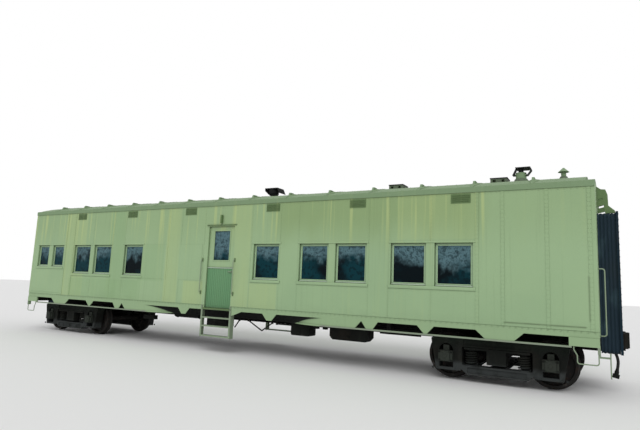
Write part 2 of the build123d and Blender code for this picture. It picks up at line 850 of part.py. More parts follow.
# Side steps: how far the stringers stand beside the door, and each tread under the deck
step_left_margin = 85.0
step_right_margin = 35.0
stringer_thickness = 10.0
stringer_depth = 130.0
stringer_flange = 45.0
stringer_toe = 10.0
tread_drops = (170.0, 370.0, 600.0)
tread_thickness = 30.0
step_left = door_left - step_left_margin
step_right = door_right + step_right_margin


def make_side_steps():
    """Two angle stringers with three treads between them, hung from the near sill."""
    face = sill_face + stringer_thickness
    bottom = deck_bottom - max(tread_drops) - tread_thickness - stringer_toe
    pieces = []
    for place, inward in ((step_left, 1), (step_right, -1)):
        x0, x1 = sorted((place, place + inward * stringer_thickness))
        pieces.append(block(x0, x1, -face, -face + stringer_depth, bottom, deck_bottom))
        x0, x1 = sorted((place, place + inward * stringer_flange))
        pieces.append(block(x0, x1, -face, -sill_face, bottom, sill_top))
    treads = [
        block(step_left + stringer_thickness, step_right - stringer_thickness, -face, -face + stringer_depth,
              deck_bottom - drop - tread_thickness, deck_bottom - drop)
        for drop in tread_drops
    ]
    return pieces[0] + pieces[1:] + treads


def make_door_fittings():
    """Drip strip, lamp bracket and threshold at the near door."""
    drip_bottom = door_top + door_lap + door_gap
    drip = block(door_left - drip_overhang, door_right + drip_overhang, -half_width - drip_proud, -half_width,
                 drip_bottom, drip_bottom + drip_height)
    inset = stringer_flange + door_gap
    threshold = block(step_left + inset, step_right - inset, -sill_face - threshold_proud, -sill_face,
                      floor_top - threshold_height, floor_top)
    bracket_bottom = drip_bottom + drip_height + lamp_bracket_lift
    bracket = block(door_centre - lamp_bracket_width / 2, door_centre + lamp_bracket_width / 2,
                    -half_width - lamp_bracket_proud, -half_width,
                    bracket_bottom, bracket_bottom + lamp_bracket_height) - roof_outside
    return [drip, threshold, bracket]


# Thin iron work
iron_diameter = 20.0
iron_bend = 40.0
iron_stand_off = 60.0
# Stirrup route: distance back from the body's end, height over its foot
stirrup_foot_drop = 425.0
stirrup_out = 20.0
stirrup_in = 335.0
stirrup_top_in = 385.0
stirrup_knee = 134.0
stirrup_hip = 224.0
door_grab_left = 140.0
door_grab_right = 60.0
door_grab_bottom = 356.0
door_grab_height = 800.0
corner_grab_in = 150.0
corner_grab_bottom = 40.0
corner_grab_height = 1100.0
corner_grab_out = 100.0


def make_stirrup():
    """Stirrup step under the near right corner."""
    y = -half_width + chord_depth / 2
    foot = deck_bottom - stirrup_foot_drop
    outer, inner, top = (half_length - back for back in (stirrup_out, stirrup_in, stirrup_top_in))
    return bent_rod([(top, y, chord_top), (top, y, foot + stirrup_hip), (inner, y, foot + stirrup_knee),
                     (inner, y, foot), (outer, y, foot), (outer, y, corner_post_bottom)],
                    iron_bend, iron_diameter)


def make_door_grabs():
    """Upright grab irons beside the near door."""
    out = -half_width - iron_stand_off
    low = floor_top + door_grab_bottom
    high = low + door_grab_height
    return [
        bent_rod([(x, -half_width, low), (x, out, low), (x, out, high), (x, -half_width, high)],
                 iron_bend, iron_diameter)
        for x in (door_left - door_grab_left, door_right + door_grab_right)
    ]


def make_corner_grab():
    """Upright grab iron on the right end wall by the near corner."""
    out = half_length + corner_grab_out
    y = -half_width + corner_grab_in
    low = deck_bottom + corner_grab_bottom
    high = low + corner_grab_height
    return bent_rod([(half_length, y, low), (out, y, low), (out, y, high), (half_length, y, high)],
                    iron_bend, iron_diameter)


# Uncoupling lever
lever_reach = 145.0
lever_start = 110.0
lever_start_drop = 191.0
lever_elbow = 200.0
lever_handle_in = 200.0
lever_handle_step = 80.0
lever_handle_lift = 86.0
lever_handle_drop = 640.0
lever_clearance = 16.0
lever_bracket_in = 440.0
lever_bracket_width = 20.0
lever_bracket_depth = 15.0


def make_uncoupling_lever():
    """Lever from the coupler to the near corner of the right end, with a hanging handle."""
    x = half_length + lever_reach
    low = diaphragm_bottom - lever_clearance - iron_diameter / 2
    handle = -half_width + lever_handle_in
    knee = handle + lever_handle_step
    high = low + lever_handle_lift
    bar = bent_rod([(x, -lever_start, deck_bottom - lever_start_drop), (x, -lever_elbow, low),
                    (x, knee + lever_handle_step, low), (x, knee, high), (x, handle, high),
                    (x, handle, deck_bottom - lever_handle_drop)], iron_bend, iron_diameter)
    y0 = -half_width + lever_bracket_in
    y1 = y0 + lever_bracket_width
    foot = low - lever_bracket_depth
    post = block(half_length - lever_bracket_width, half_length, y0, y1, foot, deck_bottom - end_sill_depth)
    arm = block(half_length, x, y0, y1, foot, low + lever_bracket_depth)
    return bar + [arm, post]


# Coupler head outline: share of its length back from the face, share of its half width
head_outline = [
    (1.0, -0.39), (0.85, -0.91), (0.31, -1.0), (0.10, -0.91), (0.27, -0.36), (0.42, -0.06),
    (0.37, 0.24), (0.0, 0.36), (0.08, 0.79), (0.38, 1.0), (0.77, 0.91), (1.0, 0.39),
]


def make_coupler():
    """Right coupler: draft block in the centre sill, shank, and head with its knuckle."""
    low = coupler_height - shank_height / 2
    high = coupler_height + shank_height / 2
    side = centre_sill_width / 2 - centre_sill_plate
    draft_end = half_length - draft_set_back
    draft = block(draft_end - draft_length, draft_end, -side, side,
                  centre_sill_bottom + draft_clearance, deck_bottom - centre_sill_plate)
    shank = block(draft_end, coupler_back + shank_overlap, -shank_width / 2, shank_width / 2, low, high)
    outline = [(coupler_end - back * coupler_head_length, side * coupler_head_half)
               for back, side in head_outline]
    head = extrude(make_face(Polyline(*outline, close=True)), coupler_head_height)
    return draft + [shank, Pos(0, 0, coupler_height - coupler_head_height / 2) * head]


def passage_cuts(x0, x1):
    """What the gangway passage and the coupler's slot take out of the bellows and its plate."""
    slot = diaphragm_half_width - bellows_leg
    return [
        block(x0, x1, -passage_half, passage_half, passage_step, passage_top),
        block(x0, x1, -slot, slot, diaphragm_bottom, coupler_slot_top),
    ]


def make_diaphragm():
    """Right gangway bellows: folds round a passage, with two legs beside the coupler."""
    pitch = diaphragm_reach / diaphragm_folds
    pieces = []
    for step in range(diaphragm_folds):
        start = half_length + pitch * step
        waist = start + pitch * fold_share
        for x0, x1, inset in ((start, waist, fold_depth), (waist, start + pitch, 0.0)):
            width = diaphragm_half_width - inset
            pieces.append(block(x0, x1, -width, width, diaphragm_bottom, diaphragm_top - inset))
    solid = pieces[0] + pieces[1:]
    return solid - passage_cuts(half_length, diaphragm_face)


def make_face_plate():
    """Steel face plate on the front of the right bellows."""
    width = diaphragm_half_width + face_plate_margin
    front = diaphragm_face + face_plate_thickness
    plate = block(diaphragm_face, front, -width, width, diaphragm_bottom, diaphragm_top + face_plate_margin)
    return plate - passage_cuts(diaphragm_face, front)


def make_diaphragm_arms():
    """Two slotted arms from the right end wall down to the top of the bellows."""
    outline, slot = (
        [(half_length + out, diaphragm_top + rise) for out, rise in points]
        for points in (arm_outline, arm_slot)
    )
    arms = []
    for side in (-1, 1):
        y0, y1 = side * arm_place - arm_width / 2, side * arm_place + arm_width / 2
        arms.append(slab_across(outline, y0, y1) - slab_across(slot, y0, y1))
    return arms


# Equipment under the floor
equipment_gap = 45.0
equipment_depth = 300.0
equipment_face = sill_face - sweep_set_in - equipment_gap
bearer_side = crossbearer_width / 2
small_box_offset = 240.0
long_box_offset = 1050.0
small_box_left = centre_bearer + bearer_side + small_box_offset
long_box_left = middle_bearer - bearer_side - long_box_offset
step_box_left = -895.0
# Boxes: left end, length, drop under the deck, cut at the lower corners
equipment_boxes = [
    (small_box_left, 480.0, 455.0, 25.0),
    (long_box_left, 915.0, 465.0, 75.0),
    (step_box_left, 620.0, 431.0, 25.0),
]
reservoir_radius = 105.0
reservoir_length = 900.0
reservoir_gap = 25.0
reservoir_drop = 201.0
reservoir_place = -620.0
cylinder_radius = 150.0
cylinder_length = 750.0
cylinder_gap = 265.0
cylinder_drop = 161.0
cylinder_place = 560.0
# Brake gear: left end, length, place across the car, drop under the deck, radius
drums = [
    (-centre_bearer - bearer_side - reservoir_gap - reservoir_length, reservoir_length, reservoir_place,
     reservoir_drop, reservoir_radius),
    (centre_bearer - bearer_side - cylinder_gap - cylinder_length, cylinder_length, cylinder_place,
     cylinder_drop, cylinder_radius),
]
drum_strap_in = 80.0
drum_strap_width = 40.0
drum_strap_half = 60.0


def make_boxes():
    """Equipment boxes hung under the floor."""
    boxes = []
    for left, length, drop, cut in equipment_boxes:
        right, bottom = left + length, deck_bottom - drop
        outline = [(left, deck_bottom), (left, bottom + cut), (left + cut, bottom), (right - cut, bottom),
                   (right, bottom + cut), (right, deck_bottom)]
        boxes.append(slab_across(outline, -equipment_face, -equipment_face + equipment_depth))
    return boxes


def make_brake_gear():
    """Air reservoir and brake cylinder on straps under the floor."""
    pieces = []
    for left, length, y, drop, radius in drums:
        middle = deck_bottom - drop
        drum = Pos(left + length / 2, y, middle) * Rot(0, 90, 0) * Cylinder(radius, length)
        straps = [
            block(x, x + drum_strap_width, y - drum_strap_half, y + drum_strap_half, middle, deck_bottom)
            for x in (left + drum_strap_in, left + length - drum_strap_in - drum_strap_width)
        ]
        pieces.append(drum + straps)
    return pieces


# Rods and pipes under the floor
tie_diameter = 30.0
tie_line = 930.0
conduit_diameter = 40.0
conduit_gap = 35.0
conduit_drop = 230.0
conduit_start = 2315.0
conduit_length = 870.0
conduit_clamp_in = 150.0
hanger_width = 40.0
feed_drop = 245.0
feed_length = 450.0
valve_place = -3065.0
valve_length = 400.0
valve_width = 140.0
valve_side = -830.0
valve_drops = (300.0, 410.0)
link_diameter = 45.0
link_set_in = 70.0
link_drop = 215.0
link_valve_length = 90.0
link_valve_places = (0.3, 0.72)
link_valve_drop = 275.0
# Tie rod: place along the car before the centre bearer, drop under the deck
tie_points = [(930.0, 220.0), (530.0, 430.0), (240.0, 235.0)]
# Brace: place along the car, drop under the deck
brace_points = [(85.0, 230.0), (-50.0, 410.0)]


def make_underfloor_rods():
    """Tie rod, brace, pipes and valve under the near side of the floor, each on its hangers."""
    half = hanger_width / 2
    y = -tie_line
    tie = [(centre_bearer - back, y, deck_bottom - drop) for back, drop in tie_points]
    tie_rod = rod(tie[0], tie[1], tie_diameter) + rod(tie[1], tie[2], tie_diameter)
    tie_rod += Pos(*tie[1]) * Sphere(tie_diameter / 2)
    tie_rod += [block(x - half, x + half, y - half, y + half, z - half, deck_bottom)
                for x, y, z in (tie[0], tie[2])]
    brace_ends = [(x, y, deck_bottom - drop) for x, drop in brace_points]
    x, _, z = brace_ends[0]
    brace = rod(*brace_ends, tie_diameter)
    brace += block(x - half, x + half, y - half, y + half, z - half, deck_bottom)
    feed_end = small_box_left
    feed_start = feed_end - feed_length
    z = deck_bottom - feed_drop
    feed = rod((feed_start, y, z), (feed_end, y, z), tie_diameter)
    feed += block(feed_start, feed_start + hanger_width, y - half, y + half, z - half, deck_bottom)
    start = truck_place - conduit_start
    y = -equipment_face - conduit_gap
    z = deck_bottom - conduit_drop
    conduit = rod((start, y, z), (start + conduit_length, y, z), conduit_diameter)
    clamp = start + conduit_clamp_in
    conduit += block(clamp, clamp + 2 * hanger_width, y - half, y + half, z - half, deck_bottom)
    valve = block(valve_place - valve_length / 2, valve_place + valve_length / 2,
                  valve_side - valve_width / 2, valve_side + valve_width / 2,
                  deck_bottom - valve_drops[1], deck_bottom - valve_drops[0])
    valve += block(valve_place - half, valve_place + half, valve_side - half, valve_side + half,
                   deck_bottom - valve_drops[0], deck_bottom)
    link_start = small_box_left + equipment_boxes[0][1]
    link_length = long_box_left - link_start
    y = -equipment_face + link_set_in
    z = deck_bottom - link_drop
    link = rod((link_start, y, z), (long_box_left, y, z), link_diameter)
    link += [block(link_start + link_length * share - link_valve_length / 2,
                   link_start + link_length * share + link_valve_length / 2,
                   y - link_diameter, y + link_diameter, deck_bottom - link_valve_drop, deck_bottom)
             for share in link_valve_places]
    return [tie_rod, brace, feed, conduit, valve, link]


# Brake hose and its pipe
train_pipe_diameter = 42.0
train_pipe_length = 1130.0
train_pipe_hanger = 730.0
hose_diameter = 50.0
hose_side = -330.0
hose_out = 90.0
hose_drop = 191.0
cock_reach = 70.0
cock_radius = 38.0
cock_back = 60.0
cock_size = (70.0, 84.0, 60.0)
collar_radius = 36.0
collar_length = 60.0
gladhand_size = (110.0, 50.0, 70.0)
# Hose route along its middle line: distance out from its start, drop under its start
hose_route = [(0.0, 0.0), (65.0, 30.0), (130.0, 110.0), (162.0, 210.0), (160.0, 320.0), (140.0, 410.0)]
hose_points = [(half_length + hose_out + out, hose_side, deck_bottom - hose_drop - drop)
               for out, drop in hose_route]


def make_hose():
    """Right brake hose, hanging from its angle cock."""
    corners = [Vector(*point) for point in hose_points]
    radii = []
    for before, here, after in zip(corners, corners[1:], corners[2:]):
        turn = math.radians((here - before).get_angle(after - here))
        shorter = min((here - before).length, (after - here).length)
        radii.append(0.45 * shorter / math.tan(turn / 2))
    print("hose radii", [round(radius) for radius in radii])
    path = FilletPolyline(*hose_points, radius=radii)
    start = Plane(origin=path @ 0, z_dir=path % 0)
    tube = sweep(start * Circle(hose_diameter / 2), path)
    print("hose length", round(path.length), "volume", round(tube.volume),
          "section by length", round(math.pi * hose_diameter ** 2 / 4 * path.length))
    return tube


def make_gladhand():
    """Hose coupling on the hose's lower end."""
    last, before = Vector(*hose_points[-1]), Vector(*hose_points[-2])
    place = Plane(origin=last, z_dir=last - before)
    collar = extrude(place * Circle(collar_radius), collar_length)
    width, depth, length = gladhand_size
    return collar + extrude(place.offset(collar_length) * Rectangle(width, depth), length)


def make_angle_cock():
    """Valve body between the train pipe and the hose."""
    first, second = Vector(*hose_points[0]), Vector(*hose_points[1])
    away = (first - second).normalized()
    socket = extrude(Plane(origin=first, z_dir=away) * Circle(cock_radius), cock_reach)
    back = first + away * cock_back
    body = Pos(back.X, back.Y, back.Z) * Box(*cock_size)
    start = back.X - train_pipe_length
    pipe = rod((start, back.Y, back.Z), (back.X, back.Y, back.Z), train_pipe_diameter)
    hanger = back.X - train_pipe_hanger
    strap = block(hanger, hanger + hanger_width, back.Y - hanger_width / 2, back.Y + hanger_width / 2,
                  back.Z, deck_bottom)
    return socket + [body, pipe, strap]


def make_wheelset():
    """Axle with its two wheels, on a middle line at the axle height."""
    axle_profile = [
        (0, 0), (axle_radius - axle_waist, 0), (axle_radius, wheel_seat - seat_back),
        (axle_radius + seat_swell, wheel_seat + seat_front), (journal_radius, wheel_seat + seat_front),
        (journal_radius, journal_end), (0, journal_end),
    ]
    hub_back = wheel_seat - hub_width / 2
    rim_inner = tread_radius - rim_thickness
    web = web_thickness / 2
    tip_start = wheel_back + flange_edge
    tip_end = tip_start + flange_tip
    wheel_profile = [
        (axle_radius - hub_overlap, hub_back), (hub_radius, hub_back),
        (hub_radius + web_root, wheel_seat + web_slant - web),
        (rim_inner - web_rim_root, wheel_seat - web_slant - web),
        (rim_inner, wheel_back), (flange_radius - flange_shoulder, wheel_back), (flange_radius, tip_start),
        (flange_radius, tip_end), (tread_radius + tread_taper, tip_end + flange_root),
        (tread_radius - tread_taper, wheel_front), (rim_inner, wheel_front),
        (rim_inner - web_rim_root, wheel_seat - web_slant + web),
        (hub_radius + web_root, wheel_seat + web_slant + web), (hub_radius, hub_front),
        (axle_radius - hub_overlap, hub_front),
    ]
    half = revolve(make_face(Polyline(*axle_profile, close=True)), Axis.Y)
    wheel = revolve(make_face(Polyline(*wheel_profile, close=True)), Axis.Y)
    side = half + wheel
    return Pos(0, 0, axle_height) * (side + far(side))


def make_truck_frame():
    """Two cast side frames with pedestal jaws and a spring window, joined by a spring plank."""
    axle = wheelbase / 2
    shoulder = axle + frame_shoulder_reach
    foot_inner = axle - frame_foot_inner
    belly = foot_inner - frame_belly_side
    right = [(0, frame_bottom), (belly - frame_belly_slope, frame_bottom),
             (belly, frame_bottom + frame_belly_rise),
             (foot_inner, frame_foot), (axle + frame_foot_outer, frame_foot),
             (shoulder, frame_top - frame_shoulder_drop), (shoulder - frame_shoulder_slope, frame_top),
             (0, frame_top)]
    left = [(-x, z) for x, z in reversed(right[1:-1])]
    side = slab_across(right + left, -frame_outer, -frame_inner)
    window_height = frame_window_top - frame_window_bottom
    window = Plane.XZ * RectangleRounded(2 * frame_window_half, window_height, window_radius)
    middle = (frame_window_top + frame_window_bottom) / 2
    side -= Pos(0, -frame_inner, middle) * extrude(window, frame_width)
    half = box_width / 2
    for place in (-axle, axle):
        side -= block(place - half, place + half, -frame_outer, -frame_inner, jaw_bottom, jaw_top - half)
        arc = Pos(place, -journal_centre, jaw_top - half) * Rot(90, 0, 0)
        side -= arc * Cylinder(half, frame_width)
    pocket_face = -frame_outer + pocket_depth
    top_half = frame_window_half - pocket_margin
    side -= block(-top_half, top_half, -frame_outer, pocket_face,
                  frame_window_top + pocket_margin, frame_top - pocket_margin)
    bottom_half = belly - frame_belly_slope
    side -= block(-bottom_half, bottom_half, -frame_outer, pocket_face,
                  frame_bottom + pocket_margin, frame_window_bottom - pocket_margin)
    plank = block(-spring_plank_half, spring_plank_half, -frame_inner, frame_inner,
                  frame_window_bottom - spring_plank_thickness, frame_window_bottom)
    return side + [far(side), plank]


def make_journal_boxes():
    """Four journal boxes with round lids, each hollow for the axle's end."""
    boxes = []
    half = box_width / 2
    bore = journal_radius + journal_play
    back = frame_inner + box_back
    front = frame_outer + box_reach
    bore_end = journal_end + journal_end_gap
    box_top = axle_height + box_height / 2
    for place in (-wheelbase / 2, wheelbase / 2):
        shell = block(place - half, place + half, -front, -back, axle_height - box_height / 2, box_top)
        lid = Pos(place, -front - lid_thickness / 2, axle_height) * Rot(90, 0, 0)
        shell += lid * Cylinder(lid_radius, lid_thickness)
        hole = Pos(place, -(bore_end + frame_inner) / 2, axle_height) * Rot(90, 0, 0)
        shell -= hole * Cylinder(bore, bore_end - frame_inner)
        shell += block(place - box_neck_width / 2, place + box_neck_width / 2, -frame_outer, -back,
                       box_top, jaw_top - box_neck_gap)
        boxes += [shell, far(shell)]
    return boxes


def make_springs():
    """Four ribbed coil groups between the side frames and the bolster's caps."""
    pitch = (bolster_cap_bottom - frame_window_bottom) / spring_turns
    points = [(0, frame_window_bottom)]
    for turn in range(spring_turns):
        low = frame_window_bottom + pitch * turn
        rib = low + pitch * spring_rib
        points += [(spring_radius, low), (spring_radius, rib), (spring_radius - spring_wire, rib),
                   (spring_radius - spring_wire, low + pitch)]
    points.append((0, bolster_cap_bottom))
    coil = revolve(make_face(Plane.XZ * Polyline(*points, close=True)), Axis.Z)
    return [Pos(x, y, 0) * coil
            for x in (-spring_place, spring_place) for y in (-journal_centre, journal_centre)]


def make_truck_bolster():
    """Bolster across the truck, with caps over the springs and the centre plate on top."""
    half = truck_bolster_half
    seat = truck_bolster_top - centre_plate_seat
    inner = frame_inner - truck_bolster_overlap
    middle = block(-half, half, -inner, inner, seat - truck_bolster_depth, seat)
    reach = spring_place + spring_radius
    low = frame_window_bottom + truck_bolster_lift
    end = block(-half, half, -frame_outer, -inner, low, bolster_cap_top)
    cap = block(-reach, reach, -frame_outer, -frame_inner, bolster_cap_bottom, bolster_cap_top)
    plate = Pos(0, 0, seat + centre_plate_seat / 2) * Cylinder(centre_plate_radius, centre_plate_seat)
    return middle + [end, far(end), cap, far(cap), plate]


def make_truck_brakes():
    """Two brake beams with a shoe at each wheel, held by the side frames."""
    pieces = []
    inner = tread_radius + tread_taper + brake_gap
    shoe_low = wheel_back + brake_shoe_back
    shoe_high = wheel_front - brake_shoe_front
    beam_top = frame_window_bottom - brake_beam_drop
    for side in (-1, 1):
        wheel = side * wheelbase / 2
        ring = Pos(wheel, -(shoe_low + shoe_high) / 2, axle_height) * Rot(90, 0, 0)
        ring = ring * (Cylinder(inner + brake_shoe_thickness, shoe_high - shoe_low)
                       - Cylinder(inner, shoe_high - shoe_low))
        x0, x1 = sorted((wheel, wheel - side * (inner + brake_shoe_thickness)))
        shoe = ring & block(x0, x1, -shoe_high, -shoe_low,
                            axle_height - brake_shoe_drop, axle_height + brake_shoe_rise)
        edge = wheel - side * inner
        x0, x1 = sorted((edge, edge - side * brake_beam_reach))
        beam = block(x0, x1, -frame_inner, frame_inner, beam_top - brake_beam_size, beam_top)
        pieces.append(beam + [shoe, far(shoe)])
    return pieces


# Car body
near_frame = make_side_frame()
near_wall = make_side_wall()
save("centre_sill", make_centre_sill())
save("crossbearers", *make_crossbearers())
save("floor", block(-inner_half_length, inner_half_length, -inner_half_width, inner_half_width,
                    deck_bottom, floor_top))
save("side_frame_near", near_frame)
save("side_frame_far", far(near_frame))
save("side_wall_near", near_wall)
save("side_wall_far", far(near_wall))
right_wall = make_end_wall()
save("end_wall_right", right_wall)
save("end_wall_left", at_left(right_wall))
save("roof", make_roof())
both_sides = {
    "eave_vents": make_eave_vents(),
    "window_frames": make_window_frames(),
    "window_glass": make_window_glass(),
    "wall_battens": make_wall_battens(),
    "side_steps": [make_side_steps()],
    "door_fittings": make_door_fittings(),
}
for name, shapes in both_sides.items():
    save(name, *shapes, *[far(shape) for shape in shapes])
save("roof_vents", *make_roof_vents())
save("roof_hood", make_roof_hood())
save("roof_stacks", make_chimney(), make_small_stack())
stirrup = make_stirrup()
save("stirrup_steps", stirrup, far(stirrup), mirrored_left(stirrup), at_left(stirrup))
door_grabs = make_door_grabs()
corner = make_corner_grab()
save("grab_irons", *door_grabs, *[far(grab) for grab in door_grabs],
     corner, far(corner), mirrored_left(corner), at_left(corner))
save("equipment_boxes", *make_boxes())
save("brake_gear", *make_brake_gear())
save("underfloor_rods", *make_underfloor_rods())

# Both ends
both_ends = {
    "angle_cocks": [make_angle_cock()],
    "uncoupling_levers": [make_uncoupling_lever()],
    "couplers": [make_coupler()],
    "diaphragms": [make_diaphragm()],
    "face_plates": [make_face_plate()],
    "diaphragm_arms": make_diaphragm_arms(),
}
for name, shapes in both_ends.items():
    save(name, *shapes, *[at_left(shape) for shape in shapes])
end_leaf_shape, end_pane = make_end_door()
one_end = {
    "brake_hose": make_hose(),
    "gladhand": make_gladhand(),
    "end_door": end_leaf_shape,
    "end_door_glass": end_pane,
}
for end, turn in ends.items():
    for name, shape in one_end.items():
        save(f"{name}_{end}", Rot(0, 0, turn) * shape)

# Side doors
for name, shape in zip(("lower", "upper", "glass"), make_side_doors()):
    save(f"side_door_{name}_near", shape)
    save(f"side_door_{name}_far", far(shape))

# Trucks
truck_pieces = {
    "truck_frame": [make_truck_frame()],
    "truck_bolster": [make_truck_bolster()],
    "truck_springs": make_springs(),
    "journal_boxes": make_journal_boxes(),
    "truck_brakes": make_truck_brakes(),
}
wheelset = make_wheelset()
for end, turn in ends.items():
    place = Rot(0, 0, turn) * Pos(truck_place, 0, 0)
    for name, shapes in truck_pieces.items():
        save(f"{name}_{end}", *[place * shape for shape in shapes])
    for name, offset in (("outer", wheelbase / 2), ("inner", -wheelbase / 2)):
        save(f"wheelset_{end}_{name}", place * Pos(offset, 0, 0) * wheelset)
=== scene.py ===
import math

import bmesh
import bpy
from bpy.props import FloatProperty, FloatVectorProperty, IntProperty, PointerProperty
from mathutils import Euler, Matrix, Vector, noise


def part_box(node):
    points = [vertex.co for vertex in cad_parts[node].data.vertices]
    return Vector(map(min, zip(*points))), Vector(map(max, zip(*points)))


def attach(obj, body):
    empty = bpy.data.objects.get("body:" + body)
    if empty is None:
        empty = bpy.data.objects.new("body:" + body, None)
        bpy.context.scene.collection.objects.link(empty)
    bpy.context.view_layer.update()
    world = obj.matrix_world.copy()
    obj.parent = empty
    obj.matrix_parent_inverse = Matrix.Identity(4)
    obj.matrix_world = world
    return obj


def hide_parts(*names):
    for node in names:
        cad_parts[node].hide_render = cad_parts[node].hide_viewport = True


bl_info = {
    "name": "Troop sleeper car",
    "version": (1, 0, 0),
    "blender": (4, 5, 0),
    "location": "3D View > Sidebar > Sleeper car",
    "description": "Paint, glass, canvas, springs and small fittings on a packed railway sleeper car",
    "category": "Object",
}

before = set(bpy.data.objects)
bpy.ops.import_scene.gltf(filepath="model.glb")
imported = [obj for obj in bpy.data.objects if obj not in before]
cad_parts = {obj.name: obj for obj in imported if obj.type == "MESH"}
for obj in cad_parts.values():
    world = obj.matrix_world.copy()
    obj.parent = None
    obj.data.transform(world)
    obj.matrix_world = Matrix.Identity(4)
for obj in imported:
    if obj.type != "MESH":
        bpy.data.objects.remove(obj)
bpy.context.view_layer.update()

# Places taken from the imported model
wall_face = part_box("side_wall_far")[1].y
wall_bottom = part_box("side_wall_far")[0].z
wall_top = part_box("side_wall_far")[1].z
sill_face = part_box("side_frame_far")[1].y
sill_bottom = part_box("floor")[0].z
chord_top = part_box("stirrup_steps")[1].z
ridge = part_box("roof_hood")[0].z
car_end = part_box("end_wall_right")[1].x
truck_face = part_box("truck_frame_right")[1].y
sides = {"near": -1, "far": 1}
ends = {"right": 1, "left": -1}
# Chimney: place along the car, top of its wide part
chimney_place = 6.510
chimney_shoulder = ridge + 0.148
# Underside of a ridge vent's lid
vent_lid = ridge + 0.130
# Roof arch: half width and rise
roof_half_width = 1.455
roof_rise = 0.276
roof_radius = (roof_half_width ** 2 + roof_rise ** 2) / (2 * roof_rise)
rib_places = [end * (0.525 + 1.05 * step) for step in range(7) for end in (-1, 1)]
cap_place = 1.180
hood_place = 0.300
seam_place = 0.62
# Window bays right of the door: middle along the car, and where they fade out from it
bays_middle = 3.62
bays_fade = (2.6, 2.0)
# Where the plain plates of the right end begin
plain_plates = (5.95, 6.20)
# How deep an added piece is sunk into what carries it
sunk = 0.004

# Repainted and faded panels: left, right, bottom, top, share, colour
faded_panels = [
    (-6.20, -5.30, 1.10, 3.52, 0.34, "side_pale"),
    (-4.30, -3.66, 1.10, 3.52, 0.45, "side_green"),
    (-5.90, -2.90, 1.10, 1.62, 0.45, "side_green"),
    (-3.03, -2.10, 1.62, 2.57, 0.35, "side_green"),
    (-2.05, -1.58, 1.10, 3.52, 0.34, "side_pale"),
    (-1.36, -0.72, 1.10, 1.66, 0.40, "side_pale"),
    (0.20, 0.66, 1.10, 3.52, 0.34, "side_pale"),
    (0.70, 1.46, 1.10, 1.66, 0.30, "side_pale"),
    (4.30, 5.84, 2.64, 3.52, 0.16, "side_pale"),
    (6.32, 7.62, 1.148, 1.166, 0.85, "side_grime_and_shade"),
    (7.67, 7.69, 1.250, 2.000, 0.60, "side_grime_and_shade"),
]


# Size and colour settings
def colour(name, description, default):
    return FloatVectorProperty(name=name, description=description, default=default, size=3,
                               min=0.0, max=1.0, subtype="COLOR")


def length(name, description, default):
    return FloatProperty(name=name, description=description, default=default, min=0.0,
                         precision=4, unit="LENGTH", subtype="DISTANCE")


def count(name, description, default):
    return IntProperty(name=name, description=description, default=default, min=1, max=64)


class PaintColours(bpy.types.PropertyGroup):
    """Colours of every finish on the car."""
    side: colour("Side", "Green of the car sides", (0.292, 0.420, 0.234))
    side_pale: colour("Side streaks", "Pale streaks that run down from the eave", (0.400, 0.490, 0.205))
    side_grey: colour("Side patches", "Greyer, older paint in patches", (0.215, 0.330, 0.190))
    # Painted shade under the eave, and a darker, yellower tone in the window bays
    side_eave_shade_and_tone: colour("Side under the eave", "Darker, yellower paint under the eave", (0.228, 0.325, 0.146))
    side_green: colour("Side repaint", "Greener paint of repainted panels", (0.225, 0.360, 0.175))
    # Dirt along seams and sill, and also the colour of the painted shade in corners
    side_grime_and_shade: colour("Side grime", "Dirt along the seams and the sill", (0.075, 0.105, 0.050))
    roof: colour("Roof", "Weathered green of the roof", (0.182, 0.270, 0.148))
    vent: colour("Vents", "Darker green of the eave vents", (0.105, 0.175, 0.065))
    door: colour("Lower door leaf", "Blue-green of the lower door leaf", (0.112, 0.257, 0.122))
    sash: colour("Sashes", "Grey-green of the sashes", (0.335, 0.475, 0.290))
    # Painted highlight: a paler copy of the sash colour for the sash rails and door ledges that face up
    rail: colour("Sash rail", "Pale grey-green of a sash's bottom rail", (0.450, 0.550, 0.430))
    steps: colour("Steps", "Grey-green of steps and levers", (0.235, 0.300, 0.205))
    edge: colour("Worn edge", "Grey of the bar along the side frame", (0.205, 0.220, 0.190))
    roof_vent: colour("Roof vents", "Dark grey-green of the vents on the ridge", (0.090, 0.120, 0.075))
    iron: colour("Underframe", "Black of the underframe and trucks", (0.0078, 0.0092, 0.0078))
    cast: colour("Castings", "Dark grey-green of journal boxes and couplers", (0.028, 0.033, 0.027))
    dust: colour("Dust", "Brown-grey dust on the ironwork", (0.036, 0.036, 0.030))
    # Painted highlight on the low bow of a truck side
    bow: colour("Truck bow", "Blue-grey dust on the low bow of a truck side", (0.042, 0.047, 0.047))
    moss: colour("Truck top", "Dark green bloom on the top bar of a truck side", (0.012, 0.024, 0.014))
    rust: colour("Rust", "Rust on bare steel", (0.060, 0.030, 0.018))
    hood: colour("Hoods", "Black of the roof cowls", (0.012, 0.013, 0.014))
    canvas: colour("Canvas", "Navy coated canvas of the bellows", (0.0070, 0.0195, 0.0320))
    rubber: colour("Rubber", "Black rubber of hoses and gaskets", (0.010, 0.010, 0.010))
    wheel: colour("Wheels", "Dark brown of the wheels", (0.0105, 0.0100, 0.0090))
    tread: colour("Tread", "Worn steel of treads and couplers", (0.120, 0.112, 0.104))
    glass: colour("Glass", "Dark glass with the unlit inside behind it", (0.0020, 0.0055, 0.0075))
    teal: colour("Glass tint", "Blue-green depth in the middle of a pane", (0.004, 0.038, 0.050))
    # Painted sky reflection on the glass; on the canvas, the rubbed wear
    sky_reflection_and_wear: colour("Glass haze", "Bluish haze on the upper part of each pane", (0.095, 0.175, 0.200))
    wood: colour("Floor", "Worn floor boards", (0.135, 0.095, 0.060))


